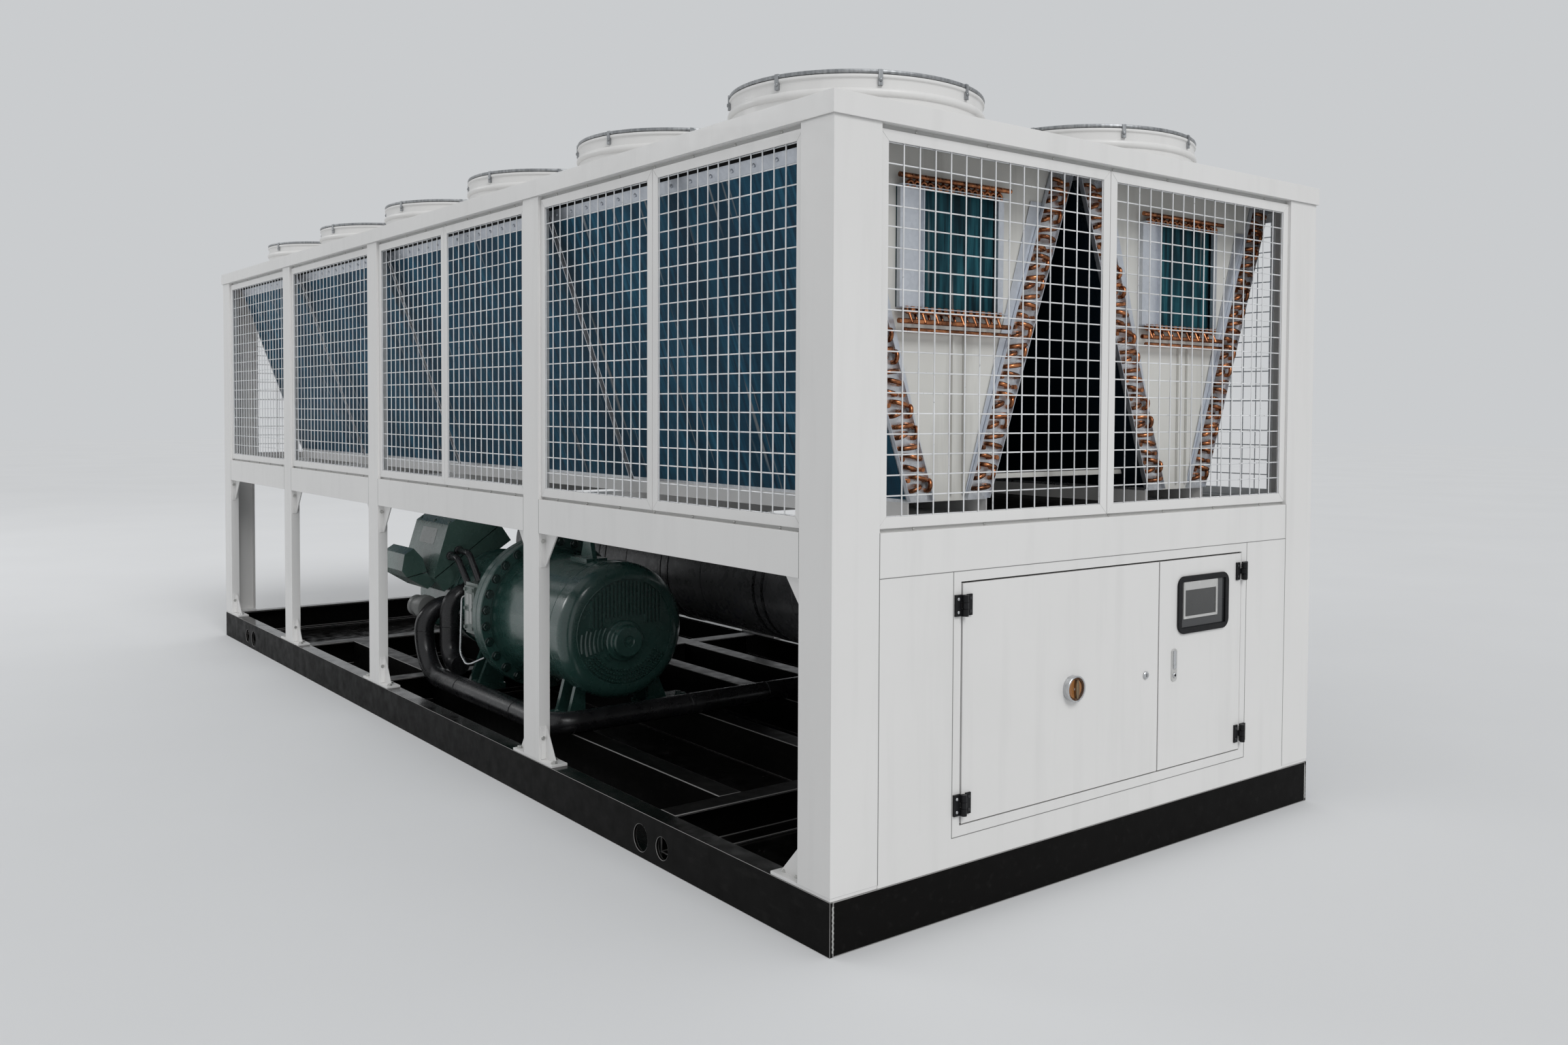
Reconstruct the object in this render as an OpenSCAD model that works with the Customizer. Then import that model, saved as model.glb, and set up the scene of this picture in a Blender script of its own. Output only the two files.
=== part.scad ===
// Air cooled water chiller: open steel frame on a channel base, two rows of roof fans over
// V coil banks, wire mesh guards, a control cabinet in the end and the machinery below.
// Millimetres. +X is the control end, -Y the front long side, +Z up, origin at ground level.

/* [Overall] */
// Length of the unit over the base rails
unit_l = 6300; // [5900:10:6800]
// Width of the unit over the base rails
unit_w = 2280; // [2200:10:2500]
// Height of the roof cap top above the ground
cap_z = 2300; // [2250:10:2450]

/* [Base] */
// Height of the base rail
rail_h = 150; // [120:5:200]
// Reach of the base rail flanges
rail_flange = 65; // [50:5:75]
// Wall of the base rail
rail_t = 10; // [8:1:14]
// Larger lifting hole in the side rails
lift_d_big = 90; // [60:1:100]
// Smaller lifting hole in the side rails
lift_d_small = 74; // [50:1:90]
// Distance of the larger lifting holes from the control end
lift_near = 1005; // [700:5:1200]
// Distance of the larger lifting holes from the far end
lift_far = 640; // [500:5:1200]
// Spacing of the larger and smaller lifting hole
lift_gap = 135; // [110:5:200]
// Control end to the first cross member
cross_near = 945; // [800:5:1000]
// Width of cross members and machinery rails
cross_w = 90; // [70:5:120]
// Thickness of the bottom pan
pan_t = 4; // [3:0.5:6]

/* [Frame] */
// Sheet thickness of posts, beams and panels
sheet_t = 4; // [3:0.5:6]
// Face width of the side posts
post_w = 130; // [100:5:150]
// Depth of posts and beams
post_d = 44; // [40:1:48]
// Face width of the corner posts on the long side
corner_side = 147; // [120:1:170]
// Face width of the corner posts on the end
corner_end = 165; // [140:1:180]
// Control end to the centre of the first side post
bay_1 = 1820; // [1700:5:1900]
// First to second side post
bay_2 = 1715; // [1600:5:1800]
// Second to third side post
bay_3 = 1390; // [1300:5:1450]
// Underside of the middle beam
beam_z = 1003; // [950:1:1050]
// Height of the middle beam
beam_h = 125; // [100:1:140]
// Height of the roof cap fascia
fascia_h = 62; // [50:1:80]
// Overhang of the fascia past the posts
fascia_out = 8; // [6:1:15]

/* [Mesh panels] */
// Width of the mesh frame bars
mesh_bar = 32; // [25:1:45]
// Depth of the mesh frame bars
mesh_deep = 20; // [15:1:25]
// Setback of the mesh frames behind the post faces
mesh_back = 10; // [5:1:14]
// Spacing of the main mesh wires
mesh_step = 116; // [80:1:180]
// Width of a mesh wire
mesh_wire = 5; // [4:0.5:8]
// Offset of the end mullion from the centre line
end_mullion_y = -20; // [-60:5:60]

/* [Fans] */
// Outside radius of the fan cowl
cowl_r = 410; // [380:1:430]
// Height of the fan cowl above the roof
cowl_h = 155; // [120:1:200]
// Wall of the fan cowl
cowl_t = 5; // [4:0.5:8]
// Control end to the first fan centre
fan_edge = 630; // [540:5:640]
// Far end to the last fan centre
fan_far = 445; // [440:5:560]
// Offset of each fan row from the centre of its V
fan_shift = 4; // [0:1:10]
// Radius of the guard rim wire
guard_wire = 7; // [5:0.5:9]
// Number of rotor blades
blade_n = 5; // [3:1:7]

/* [Coils] */
// Gap between the coil tops and the centre plane
coil_mid_gap = 18; // [10:1:40]
// Gap between the coil tops and the mesh frames
coil_mesh_gap = 24; // [15:1:60]
// Half spread of a V at the bottom, to the slab centre
v_bot = 115; // [90:1:150]
// Thickness of a coil slab, measured level
coil_t = 98; // [70:1:100]
// Setback of the coil ends from the frame ends
coil_in = 181; // [150:1:260]
// Gap between neighbouring coil modules
coil_gap = 30; // [20:1:60]
// Width of the small coil in each V end
end_coil_w = 430; // [380:5:460]

/* [Control cabinet] */
// Lower left corner of the door surround, across the unit
cab_y0 = -698; // [-760:1:-680]
// Right edge of the door surround
cab_y1 = 733; // [700:1:790]
// Bottom of the door surround
cab_z0 = 233; // [200:1:300]
// Width of the surround bars
cab_bar = 31; // [25:1:45]
// Depth of the cabinet
cab_d = 350; // [250:5:420]
// Meeting line of the two doors
door_split = 237; // [150:1:300]
// Clearance around the doors
door_gap = 5; // [5:0.5:8]
// Main switch height
switch_z = 603; // [520:1:700]
// Main switch position across the unit
switch_y = -192; // [-300:1:-100]
// Radius of the main switch collar
switch_r = 40; // [34:1:44]
// Operating panel window, left edge past the door meeting line
hmi_left = 96; // [60:1:120]
// Width of the operating panel window
hmi_w = 284; // [240:1:300]
// Height of the operating panel window
hmi_h = 196; // [160:1:220]
// Top of the operating panel window below the top of the doors
hmi_drop = 57; // [40:1:120]

/* [Machinery] */
// Compressor axis across the unit
comp_y = -560; // [-600:5:-540]
// Compressor axis height
comp_z = 525; // [515:5:560]
// Radius of the compressor motor cover
comp_r = 290; // [260:5:295]
// Outer face of the motor cover along the unit
comp_x = 1000; // [950:5:1020]
// Joint face of the large compressor flange along the unit
comp_flange = 270; // [250:5:300]
// Radius of the large compressor flange
flange_r = 350; // [310:5:360]
// Radius of the rotor casing
casing_r = 235; // [210:5:245]
// Lean of the terminal box towards the front
tbox_lean = 34; // [25:1:40]
// Radius of the insulated pipes
pipe_r = 45; // [35:1:48]
// Evaporator axis across the unit
evap_y = 450; // [420:5:500]
// Evaporator axis height
evap_z = 640; // [600:5:660]
// Radius of the insulated evaporator shell
evap_r = 280; // [220:5:290]
// Control end to the evaporator
evap_near = 1090; // [1000:5:1400]
// Far end to the evaporator
evap_far = 1390; // [1200:5:1600]
// Depth of the evaporator heads
evap_head = 60; // [40:1:90]

/* [Hidden] */
$fn = 64;
hx = unit_l / 2;
hy = unit_w / 2;
t = sheet_t;
foot_z = rail_h + 10;
beam_top = beam_z + beam_h;
fascia_z = cap_z - fascia_h;
deck_z = cap_z - t;
post_x = [hx - bay_1, hx - bay_1 - bay_2, hx - bay_1 - bay_2 - bay_3];
post_half = post_w / 2;
corner_in = hx - corner_side;
bay_edges = [
    [post_x[0] + post_half, corner_in],
    [post_x[1] + post_half, post_x[0] - post_half],
    [post_x[2] + post_half, post_x[1] - post_half],
    [-corner_in, post_x[2] - post_half]
];
// Levels of the mesh frames and of the coil banks
mesh_z0 = beam_top + 10;
mesh_z1 = fascia_z - 13;
coil_beam_top = beam_top + 12;
coil_z0 = coil_beam_top + 50;
coil_z1 = fascia_z - 3;
coil_x1 = hx - coil_in;
coil_spans = [
    [post_x[0] + coil_gap / 2, coil_x1],
    [post_x[1] + coil_gap / 2, post_x[0] - coil_gap / 2],
    [post_x[2] + coil_gap / 2, post_x[1] - coil_gap / 2],
    [-coil_x1, post_x[2] - coil_gap / 2]
];
// Centre of each V and half its spread at the top, to the slab centres
v_room = hy - mesh_back - mesh_deep - coil_mesh_gap - coil_mid_gap;
v_y = coil_mid_gap + v_room / 2;
v_top = v_room / 2 - coil_t / 2;
// Slab centre lines: [bottom, top] distance from the centre plane
slab_in = [v_y - v_bot, v_y - v_top];
slab_out = [v_y + v_bot, v_y + v_top];
end_coil_z0 = coil_z0 + (coil_z1 - coil_z0) * 0.55;
end_coil_z1 = coil_z0 + (coil_z1 - coil_z0) * 0.885;
fan_row = v_y + fan_shift;
fan_pitch = (unit_l - fan_edge - fan_far) / 5;
motor_top = cap_z + cowl_h + 2;
rotor_z = cap_z + 10;
fan_x = [for (k = [0:5]) hx - fan_edge - k * fan_pitch];
hole_r = cowl_r - cowl_t;
deck_cuts = [hx + fascia_out - t, fan_x[1] - fan_pitch / 2, fan_x[3] - fan_pitch / 2,
    -hx - fascia_out + t];
cross_x = [hx - cross_near, post_x[1] - 75, post_x[2] + 135];
rail_y = [comp_y - 240, comp_y + 360, evap_y - 190, evap_y + 190];
evap_x0 = -hx + evap_far;
evap_x1 = hx - evap_near;
saddle_x = [comp_x + 280, comp_flange - 1335];
door_z0 = cab_z0 + cab_bar + door_gap;
door_z1 = beam_z - cab_bar - door_gap;
left_y0 = cab_y0 + cab_bar + door_gap;
right_y1 = cab_y1 - cab_bar - door_gap;
hmi_y = [door_split + hmi_left, door_split + hmi_left + hmi_w];
hmi_z = [door_z1 - hmi_drop - hmi_h, door_z1 - hmi_drop];
// Door faces stand just proud of the end, and the hinge axes in front of them
door_x = hx + 2;
hinge_x = hx + 16;
left_hinge_y = left_y0 - 3;
right_hinge_y = right_y1 + 3;
hinge_z = [door_z0 + 58, door_z1 - 62];

// Sub-part to show, or all

// Box from two corners
module box(x0, x1, y0, y1, z0, z1) {
    translate([x0, y0, z0]) cube([x1 - x0, y1 - y0, z1 - z0]);
}

// Outline in Y and Z carried along X
module along_x(x0, x1) {
    translate([x0, 0, 0]) rotate([90, 0, 90]) linear_extrude(x1 - x0) children();
}

// Outline in X and Z carried along Y
module along_y(y0, y1) {
    translate([0, y1, 0]) rotate([90, 0, 0]) linear_extrude(y1 - y0) children();
}

// Both mirror images in the centre plane of the length
module both_ends() {
    children();
    mirror([1, 0, 0]) children();
}

// Side channel: web outward, flanges inward, lifting holes through the web
module side_rail() {
    difference() {
        union() {
            box(-hx, hx, -hy, -hy + rail_t, 0, rail_h);
            for (z = [0, rail_h - rail_t])
                box(-hx + rail_t, hx - rail_t, -hy + rail_t, -hy + rail_flange, z, z + rail_t);
        }
        for (h = [[hx - lift_near, lift_d_big], [hx - lift_near + lift_gap, lift_d_small],
                  [-hx + lift_far, lift_d_big], [-hx + lift_far - lift_gap, lift_d_small]])
            translate([h[0], -hy + rail_t + 1, rail_h * 0.43]) rotate([90, 0, 0])
                cylinder(d = h[1], h = rail_t + 2);
    }
}

// End channel between the side rail webs
module end_rail() {
    box(hx - rail_t, hx, -hy + rail_t, hy - rail_t, 0, rail_h);
    for (z = [0, rail_h - rail_t])
        box(hx - rail_flange, hx - rail_t, -hy + rail_flange, hy - rail_flange, z, z + rail_t);
}

module base_rail_front() { color("#16171a") side_rail(); }
module base_rail_back() { color("#16171a") mirror([0, 1, 0]) side_rail(); }
module base_rail_control_end() { color("#16171a") end_rail(); }
module base_rail_far_end() { color("#16171a") mirror([1, 0, 0]) end_rail(); }

// Channel lying along Y, web to the far end, centred on x
module cross_channel(x) {
    w = hy - rail_flange;
    box(x - cross_w / 2, x - cross_w / 2 + 8, -w, w, pan_t, rail_h);
    for (z = [pan_t, rail_h - 8]) box(x - cross_w / 2, x + cross_w / 2, -w, w, z, z + 8);
}

module base_cross_members() {
    color("#16171a") for (x = cross_x) cross_channel(x);
}

// Flat pan closing the base between the rail flanges
module base_pan() {
    x1 = hx - rail_flange;
    y1 = hy - rail_flange;
    color("#131416") box(-x1, x1, -y1, y1, 0, pan_t);
}

// Triangular gusset in the plane of a side, corner at x and z
module gusset(x, z, w, h, y) {
    along_y(y, y + 6) polygon([[x, z], [x + w, z], [x, z + h]]);
}

// Side post: folded channel with foot plate, foot gussets and beam gussets
module side_post(c) {
    y0 = -hy;
    box(c - post_half, c + post_half, y0, y0 + t, foot_z, deck_z);
    for (s = [-1, 1]) translate([c, 0, 0]) {
        box(s > 0 ? post_half - t : -post_half, s > 0 ? post_half : -post_half + t,
            y0, y0 + post_d, foot_z, deck_z);
        gusset(s * (post_half - 1), foot_z - 1, s * 85, 131, y0 + 26);
        gusset(s * (post_half - 1), beam_z, s * 100, -131, y0 + 26);
    }
    box(c - post_half - 100, c + post_half + 100, y0 + 2, y0 + rail_flange, rail_h, foot_z);
}

module side_posts_front() { color("#e9eaea") for (c = post_x) side_post(c); }
module side_posts_back() { color("#e9eaea") mirror([0, 1, 0]) for (c = post_x) side_post(c); }

// Corner post: folded angle with returned edges, foot plate and gussets
module corner_post() {
    y0 = -hy;
    box(corner_in, hx, y0, y0 + t, foot_z, deck_z);
    box(hx - t, hx, y0, y0 + corner_end, foot_z, deck_z);
    box(corner_in, corner_in + t, y0, y0 + post_d, foot_z, deck_z);
    box(hx - post_d, hx, y0 + corner_end - t, y0 + corner_end, foot_z, deck_z);
    gusset(corner_in + 1, foot_z - 1, -115, 121, y0 + 26);
    gusset(corner_in + 1, beam_z, -100, -121, y0 + 26);
    box(corner_in - 130, hx - 2, y0 + 2, y0 + rail_flange, rail_h, foot_z);
    box(hx - rail_flange, hx - 2, y0 + 2, y0 + corner_end, rail_h, foot_z);
}

module corner_posts() {
    color("#e9eaea") both_ends() {
        corner_post();
        mirror([0, 1, 0]) corner_post();
    }
}

// Channel beams of one side, middle and top, one pair to a bay
module side_beams() {
    for (b = bay_edges) {
        box(b[0], b[1], -hy, -hy + t, beam_z, beam_top);
        for (z = [beam_z, beam_top - t]) box(b[0], b[1], -hy, -hy + post_d, z, z + t);
        box(b[0], b[1], -hy, -hy + t, fascia_z, deck_z);
        for (z = [fascia_z, deck_z - t]) box(b[0], b[1], -hy, -hy + post_d, z, z + t);
    }
}

module side_beams_front() { color("#e9eaea") side_beams(); }
module side_beams_back() { color("#e9eaea") mirror([0, 1, 0]) side_beams(); }

// Middle and top channel beams across both ends
module end_beams() {
    w = hy - corner_end;
    color("#e9eaea") both_ends() {
        box(hx - t, hx, -w, w, beam_z, beam_top);
        for (z = [beam_z, beam_top - t]) box(hx - post_d, hx, -w, w, z, z + t);
        box(hx - t, hx, -w, w, fascia_z, deck_z);
        for (z = [fascia_z, deck_z - t]) box(hx - post_d, hx, -w, w, z, z + t);
    }
}

// Folded beams across the unit that carry the coil banks
module coil_support_beams() {
    w = hy - post_d;
    color("#dcdedf") for (x = concat([coil_x1 - 80], post_x, [-coil_x1 + 80])) {
        box(x - post_half, x + post_half, -w, w, coil_beam_top - t, coil_beam_top);
        for (s = [-post_half, post_half - t])
            box(x + s, x + s + t, -w, w, coil_beam_top - 100, coil_beam_top);
    }
}

// Drain trough under one V
module trough() {
    y0 = -v_y - v_bot - coil_t / 2;
    y1 = -v_y + v_bot + coil_t / 2;
    along_x(-coil_x1, coil_x1) polygon([[y0, coil_z0], [y0, coil_beam_top], [y1, coil_beam_top],
        [y1, coil_z0], [y1 - t, coil_z0], [y1 - t, coil_beam_top + t],
        [y0 + t, coil_beam_top + t], [y0 + t, coil_z0]]);
}

module drain_troughs() {
    color("#dcdedf") {
        trough();
        mirror([0, 1, 0]) trough();
    }
}

// Roof sheets with the round fan openings
module roof_deck() {
    w = hy + fascia_out - t;
    color("#e6e7e8") for (i = [0:2]) difference() {
        box(deck_cuts[i + 1] + (i < 2 ? 1 : 0), deck_cuts[i] - (i > 0 ? 1 : 0), -w, w, deck_z, cap_z);
        for (k = [2 * i, 2 * i + 1], s = [-1, 1])
            translate([fan_x[k], s * fan_row, deck_z - 1]) cylinder(r = hole_r, h = t + 2);
    }
}

// Fascia band around the roof
module roof_fascia() {
    x1 = hx + fascia_out;
    y1 = hy + fascia_out;
    color("#eceded") difference() {
        box(-x1, x1, -y1, y1, fascia_z, cap_z);
        box(-x1 + t, x1 - t, -y1 + t, y1 - t, fascia_z - 1, cap_z + 1);
    }
}

// Fan cowl: foot flange, flared foot, straight wall with a bead and a rolled rim
module cowl() {
    r = cowl_r;
    translate([0, 0, cap_z]) rotate_extrude() polygon([
        [r - cowl_t, 0], [r + 50, 0], [r + 50, 4], [r + 30, 5], [r + 12, 18], [r + 3, 38], [r, 60],
        [r, cowl_h * 0.58], [r + 7, cowl_h * 0.61], [r + 9, cowl_h * 0.66],
        [r + 7, cowl_h * 0.71], [r, cowl_h * 0.74], [r, cowl_h - 12], [r + 6, cowl_h - 5],
        [r + 6, cowl_h], [r - 2, cowl_h], [r - cowl_t, cowl_h - 6]]);
}

module fan_cowls_front() {
    color("#e9eaea") for (x = fan_x) translate([x, -fan_row, 0]) cowl();
}
module fan_cowls_back() {
    color("#e9eaea") for (x = fan_x) translate([x, fan_row, 0]) cowl();
}

// Square bar ring of mean radius r and bar size w
module bar_ring(r, w) {
    rotate_extrude() translate([r - w / 2, 0]) square([w, w]);
}

// Guard: rim and inner rings on spokes with a plate that carries the motor
module guard() {
    translate([0, 0, cap_z + cowl_h]) {
        bar_ring(cowl_r, 2 * guard_wire);
        for (q = [0.72, 0.46]) translate([0, 0, 2]) bar_ring(cowl_r * q, 8);
        for (a = [0:45:135]) rotate([0, 0, a])
            translate([-cowl_r, -4, 4]) cube([2 * cowl_r, 8, 8]);
        translate([0, 0, 2]) cylinder(r = 100, h = 10);
    }
}

module fan_guards_front() {
    color("#6d7276") for (x = fan_x) translate([x, -fan_row, 0]) guard();
}
module fan_guards_back() {
    color("#6d7276") for (x = fan_x) translate([x, fan_row, 0]) guard();
}

// Motors hung from the guard plates, with a shaft end for the rotor
module fan_motors() {
    color("#2b2d30") for (x = fan_x, s = [-1, 1]) translate([x, s * fan_row, 0]) {
        translate([0, 0, rotor_z + 40]) cylinder(r = 78, h = motor_top - rotor_z - 40);
        translate([0, 0, rotor_z - 36]) cylinder(r = 18, h = 80);
    }
}

// Rotor: bored hub and pitched blades
module fan_rotors() {
    color("#3a3d41") for (x = fan_x, s = [-1, 1]) translate([x, s * fan_row, rotor_z])
        difference() {
            union() {
                translate([0, 0, -36]) cylinder(r = 92, h = 66);
                for (k = [0:blade_n - 1]) rotate([0, 0, k * 360 / blade_n + 10])
                    translate([0, 0, -4]) rotate([24, 0, 0]) linear_extrude(6)
                        polygon([[80, -42], [hole_r - 46, -112], [hole_r - 34, 80], [80, 40]]);
            }
            translate([0, 0, -40]) cylinder(r = 18, h = 80);
        }
}

// Sloped slab outline between two levels, grown by g to both faces
module slab_outline(c, za, zb, g) {
    k = (c[1] - c[0]) / (coil_z1 - coil_z0);
    ya = c[0] + k * (za - coil_z0);
    yb = c[0] + k * (zb - coil_z0);
    h = coil_t / 2 + g;
    polygon([[-ya - h, za], [-ya + h, za], [-yb + h, zb], [-yb - h, zb]]);
}

// Finned slabs of one V, one to a bay
module slabs() {
    for (b = coil_spans, c = [slab_in, slab_out])
        along_x(b[0] + t, b[1] - t) slab_outline(c, coil_z0 + 10, coil_z1 - 10, 0);
}

// Casing around each slab: tube plates at the ends, strips above and below
module casings() {
    for (b = coil_spans, c = [slab_in, slab_out]) difference() {
        along_x(b[0], b[1]) slab_outline(c, coil_z0, coil_z1, 0);
        along_x(b[0] + t, b[1] - t) slab_outline(c, coil_z0 + 10, coil_z1 - 10, 30);
    }
}

module coil_slabs_front() { color("#2a6c9c") slabs(); }
module coil_slabs_back() { color("#2a6c9c") mirror([0, 1, 0]) slabs(); }
module coil_casings_front() { color("#c9ced2") casings(); }
module coil_casings_back() { color("#c9ced2") mirror([0, 1, 0]) casings(); }

// Plate closing the end of one V, with the opening for the end coil
module v_plate() {
    h = coil_t / 2;
    difference() {
        along_x(coil_x1 - 8, coil_x1 - 4) polygon([
            [-v_y - v_bot + h, coil_z0], [-v_y + v_bot - h, coil_z0],
            [-v_y + v_top - h, coil_z1], [-v_y - v_top + h, coil_z1]]);
        box(coil_x1 - 20, coil_x1 + 20, -v_y - end_coil_w / 2, -v_y + end_coil_w / 2,
            end_coil_z0, end_coil_z1);
    }
}

module v_end_plates() {
    color("#eceded") both_ends() {
        v_plate();
        mirror([0, 1, 0]) v_plate();
    }
}

// Small finned coil set in each V end plate
module end_coils() {
    color("#235d86") both_ends() for (s = [-1, 1])
        box(coil_x1 - 54, coil_x1, s * v_y - end_coil_w / 2, s * v_y + end_coil_w / 2,
            end_coil_z0, end_coil_z1);
}

// Dark sheets of the coil space: a deck between the troughs and two bulkheads on it
module inner_sheets() {
    w = slab_in[0] - coil_t / 2 - 3;
    top = slab_in[1] - coil_t / 2 - 3;
    color("#17181a") {
        box(-coil_x1 + 10, coil_x1 - 10, -w, w, coil_beam_top, coil_beam_top + t);
        for (x = [post_x[0], post_x[2]]) along_x(x - t / 2, x + t / 2) polygon([
            [-w, coil_beam_top + t], [w, coil_beam_top + t], [w, coil_z0], [top, coil_z1 - 5],
            [-top, coil_z1 - 5], [-w, coil_z0]]);
    }
}

// Framed wire mesh of width w and height h, lower left corner at the origin, facing +Z
module mesh_panel(w, h) {
    nx = round((w - 2 * mesh_bar) / mesh_step);
    nz = round((h - 2 * mesh_bar) / mesh_step);
    px = (w - 2 * mesh_bar) / nx;
    pz = (h - 2 * mesh_bar) / nz;
    difference() {
        cube([w, h, mesh_deep]);
        translate([mesh_bar, mesh_bar, mesh_wire]) cube([w - 2 * mesh_bar, h - 2 * mesh_bar, 40]);
        for (i = [0:nx - 1], k = [0:nz - 1])
            translate([mesh_bar + i * px + mesh_wire / 2, mesh_bar + k * pz + mesh_wire / 2, -1])
                cube([px - mesh_wire, pz - mesh_wire, mesh_wire + 2]);
    }
}

// Mesh panels of one long side: two in each long bay, one in each short bay
module side_meshes() {
    for (i = [0:3]) {
        n = i < 2 ? 2 : 1;
        w = (bay_edges[i][1] - bay_edges[i][0]) / n;
        for (k = [0:n - 1])
            translate([bay_edges[i][0] + k * (w + 1), -hy + mesh_back + mesh_deep, mesh_z0])
                rotate([90, 0, 0]) mesh_panel(w - (n - 1), mesh_z1 - mesh_z0);
    }
}

module mesh_panels_front() { color("#dfe2e4") side_meshes(); }
module mesh_panels_back() { color("#dfe2e4") mirror([0, 1, 0]) side_meshes(); }

// Two mesh panels across one end
module end_meshes() {
    w = hy - corner_end;
    for (q = [[-w, end_mullion_y - 1], [end_mullion_y + 1, w]])
        translate([hx - mesh_back - mesh_deep, q[0], mesh_z0]) rotate([90, 0, 90])
            mesh_panel(q[1] - q[0], mesh_z1 - mesh_z0);
}

module mesh_panels_control_end() { color("#dfe2e4") end_meshes(); }
module mesh_panels_far_end() { color("#dfe2e4") mirror([1, 0, 0]) end_meshes(); }

// Lower closing panel of the control end, cut out for the cabinet
module end_panel() {
    w = hy - corner_end;
    color("#e6e7e8") difference() {
        box(hx - t, hx, -w, w, rail_h, beam_z);
        box(hx - t - 1, hx + 1, cab_y0, cab_y1, cab_z0, beam_z + 1);
    }
}

// Flat frame around the doors
module door_surround() {
    color("#e9eaea") difference() {
        box(hx - 10, hx, cab_y0, cab_y1, cab_z0, beam_z);
        box(hx - 11, hx + 1, cab_y0 + cab_bar, cab_y1 - cab_bar, cab_z0 + cab_bar, beam_z - cab_bar);
    }
}

// Folded cabinet behind the doors, open to the front
module control_cabinet() {
    color("#d5d7d9") difference() {
        box(hx - 10 - cab_d, hx - 10, cab_y0, cab_y1, cab_z0, beam_z);
        box(hx - 10 - cab_d + t, hx - 9, cab_y0 + 12, cab_y1 - 12, cab_z0 + 12, beam_z - 12);
    }
}

// Door pan with returned edges from y0 to y1
module door_pan(y0, y1) {
    difference() {
        box(door_x - 24, door_x, y0, y1, door_z0, door_z1);
        box(door_x - 25, door_x - t, y0 + t, y1 - t, door_z0 + t, door_z1 - t);
    }
}

// Leaf and bored knuckle fixed to a door, s is the side of the axis the door lies on
module moving_leaf(y, s) {
    for (z = hinge_z) difference() {
        union() {
            translate([hinge_x, y, z - 9]) cylinder(r = 9, h = 18);
            box(door_x - 1, door_x + 6, min(y, y + s * 36), max(y, y + s * 36), z - 9, z + 9);
            box(door_x - 1, door_x + 6, min(y + s * 16, y + s * 36), max(y + s * 16, y + s * 36),
                z - 31, z + 31);
            box(door_x, hinge_x, min(y + s * 4, y + s * 14), max(y + s * 4, y + s * 14), z - 9, z + 9);
        }
        translate([hinge_x, y, z - 10]) cylinder(r = 4.05, h = 20);
    }
}

module left_door() {
    color("#eceded") {
        door_pan(left_y0, door_split - door_gap / 2 - 0.5);
        moving_leaf(left_hinge_y, 1);
    }
}

module right_door() {
    color("#eceded") difference() {
        union() {
            door_pan(door_split + door_gap / 2 + 0.5, right_y1);
            moving_leaf(right_hinge_y, -1);
        }
        box(door_x - 30, door_x + 30, hmi_y[0] + 14, hmi_y[1] - 14, hmi_z[0] + 14, hmi_z[1] - 14);
    }
}

// Fixed hinge parts on the surround: leaf, outer knuckles and pin
module fixed_leaf(y, s) {
    for (z = hinge_z) {
        translate([hinge_x, y, z - 31]) cylinder(r = 4, h = 62, $fn = 32);
        for (q = [z - 31, z + 10]) {
            translate([hinge_x, y, q]) cylinder(r = 9, h = 21, $fn = 32);
            box(hx, hinge_x, min(y - s * 9, y - s * 3), max(y - s * 9, y - s * 3), q, q + 21);
        }
        box(hx, hx + 8, min(y - s * 30, y - s * 8), max(y - s * 30, y - s * 8), z - 31, z + 31);
    }
}

module door_hinges() {
    color("#1b1c1e") {
        fixed_leaf(left_hinge_y, 1);
        fixed_leaf(right_hinge_y, -1);
    }
}

// Round plate of the main switch on the left door, with its collar and the shaft
module main_switch_plate() {
    color("#b9bdc1") translate([door_x, switch_y, switch_z]) rotate([0, 90, 0]) {
        cylinder(r = switch_r, h = 6);
        difference() {
            cylinder(r = switch_r, h = 20);
            translate([0, 0, -1]) cylinder(r = switch_r - 4, h = 30);
        }
        cylinder(r = 8, h = 20);
    }
}

// Turning knob with a grip bar
module main_switch_knob() {
    color("#b06a2c") translate([door_x + 8, switch_y, switch_z]) rotate([0, 90, 0]) difference() {
        union() {
            cylinder(r = switch_r - 10, h = 8);
            translate([-switch_r + 11, -7, 0]) cube([2 * switch_r - 22, 14, 18]);
        }
        translate([0, 0, -1]) cylinder(r = 8.05, h = 14);
    }
}

// Window frame of the operating panel on the right door
module hmi_frame() {
    r = 34;
    y = [hmi_y[0] + r, hmi_y[1] - r];
    z = [hmi_z[0] + r, hmi_z[1] - r];
    color("#141517") difference() {
        union() {
            box(door_x, door_x + 8, hmi_y[0], hmi_y[1], z[0], z[1]);
            box(door_x, door_x + 8, y[0], y[1], hmi_z[0], hmi_z[1]);
            for (a = y, b = z) translate([door_x, a, b]) rotate([0, 90, 0]) cylinder(r = r, h = 8);
        }
        box(door_x - 1, door_x + 9, hmi_y[0] + 20, hmi_y[1] - 20, hmi_z[0] + 20, hmi_z[1] - 20);
    }
}

// Operating panel set in the door opening
module hmi_screen() {
    color("#4a5058") box(door_x - 24, door_x, hmi_y[0] + 14, hmi_y[1] - 14, hmi_z[0] + 14,
        hmi_z[1] - 14);
}

// Channels between the cross members that carry the compressor and the vessel
module machinery_rails() {
    color("#16171a") for (y = rail_y, k = [0, 1]) {
        x0 = cross_x[k + 1] + cross_w / 2;
        x1 = cross_x[k] - cross_w / 2;
        box(x0, x1, y - cross_w / 2, y - cross_w / 2 + 8, pan_t, rail_h);
        for (z = [pan_t, rail_h - 8]) box(x0, x1, y - cross_w / 2, y + cross_w / 2, z, z + 8);
    }
}

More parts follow.
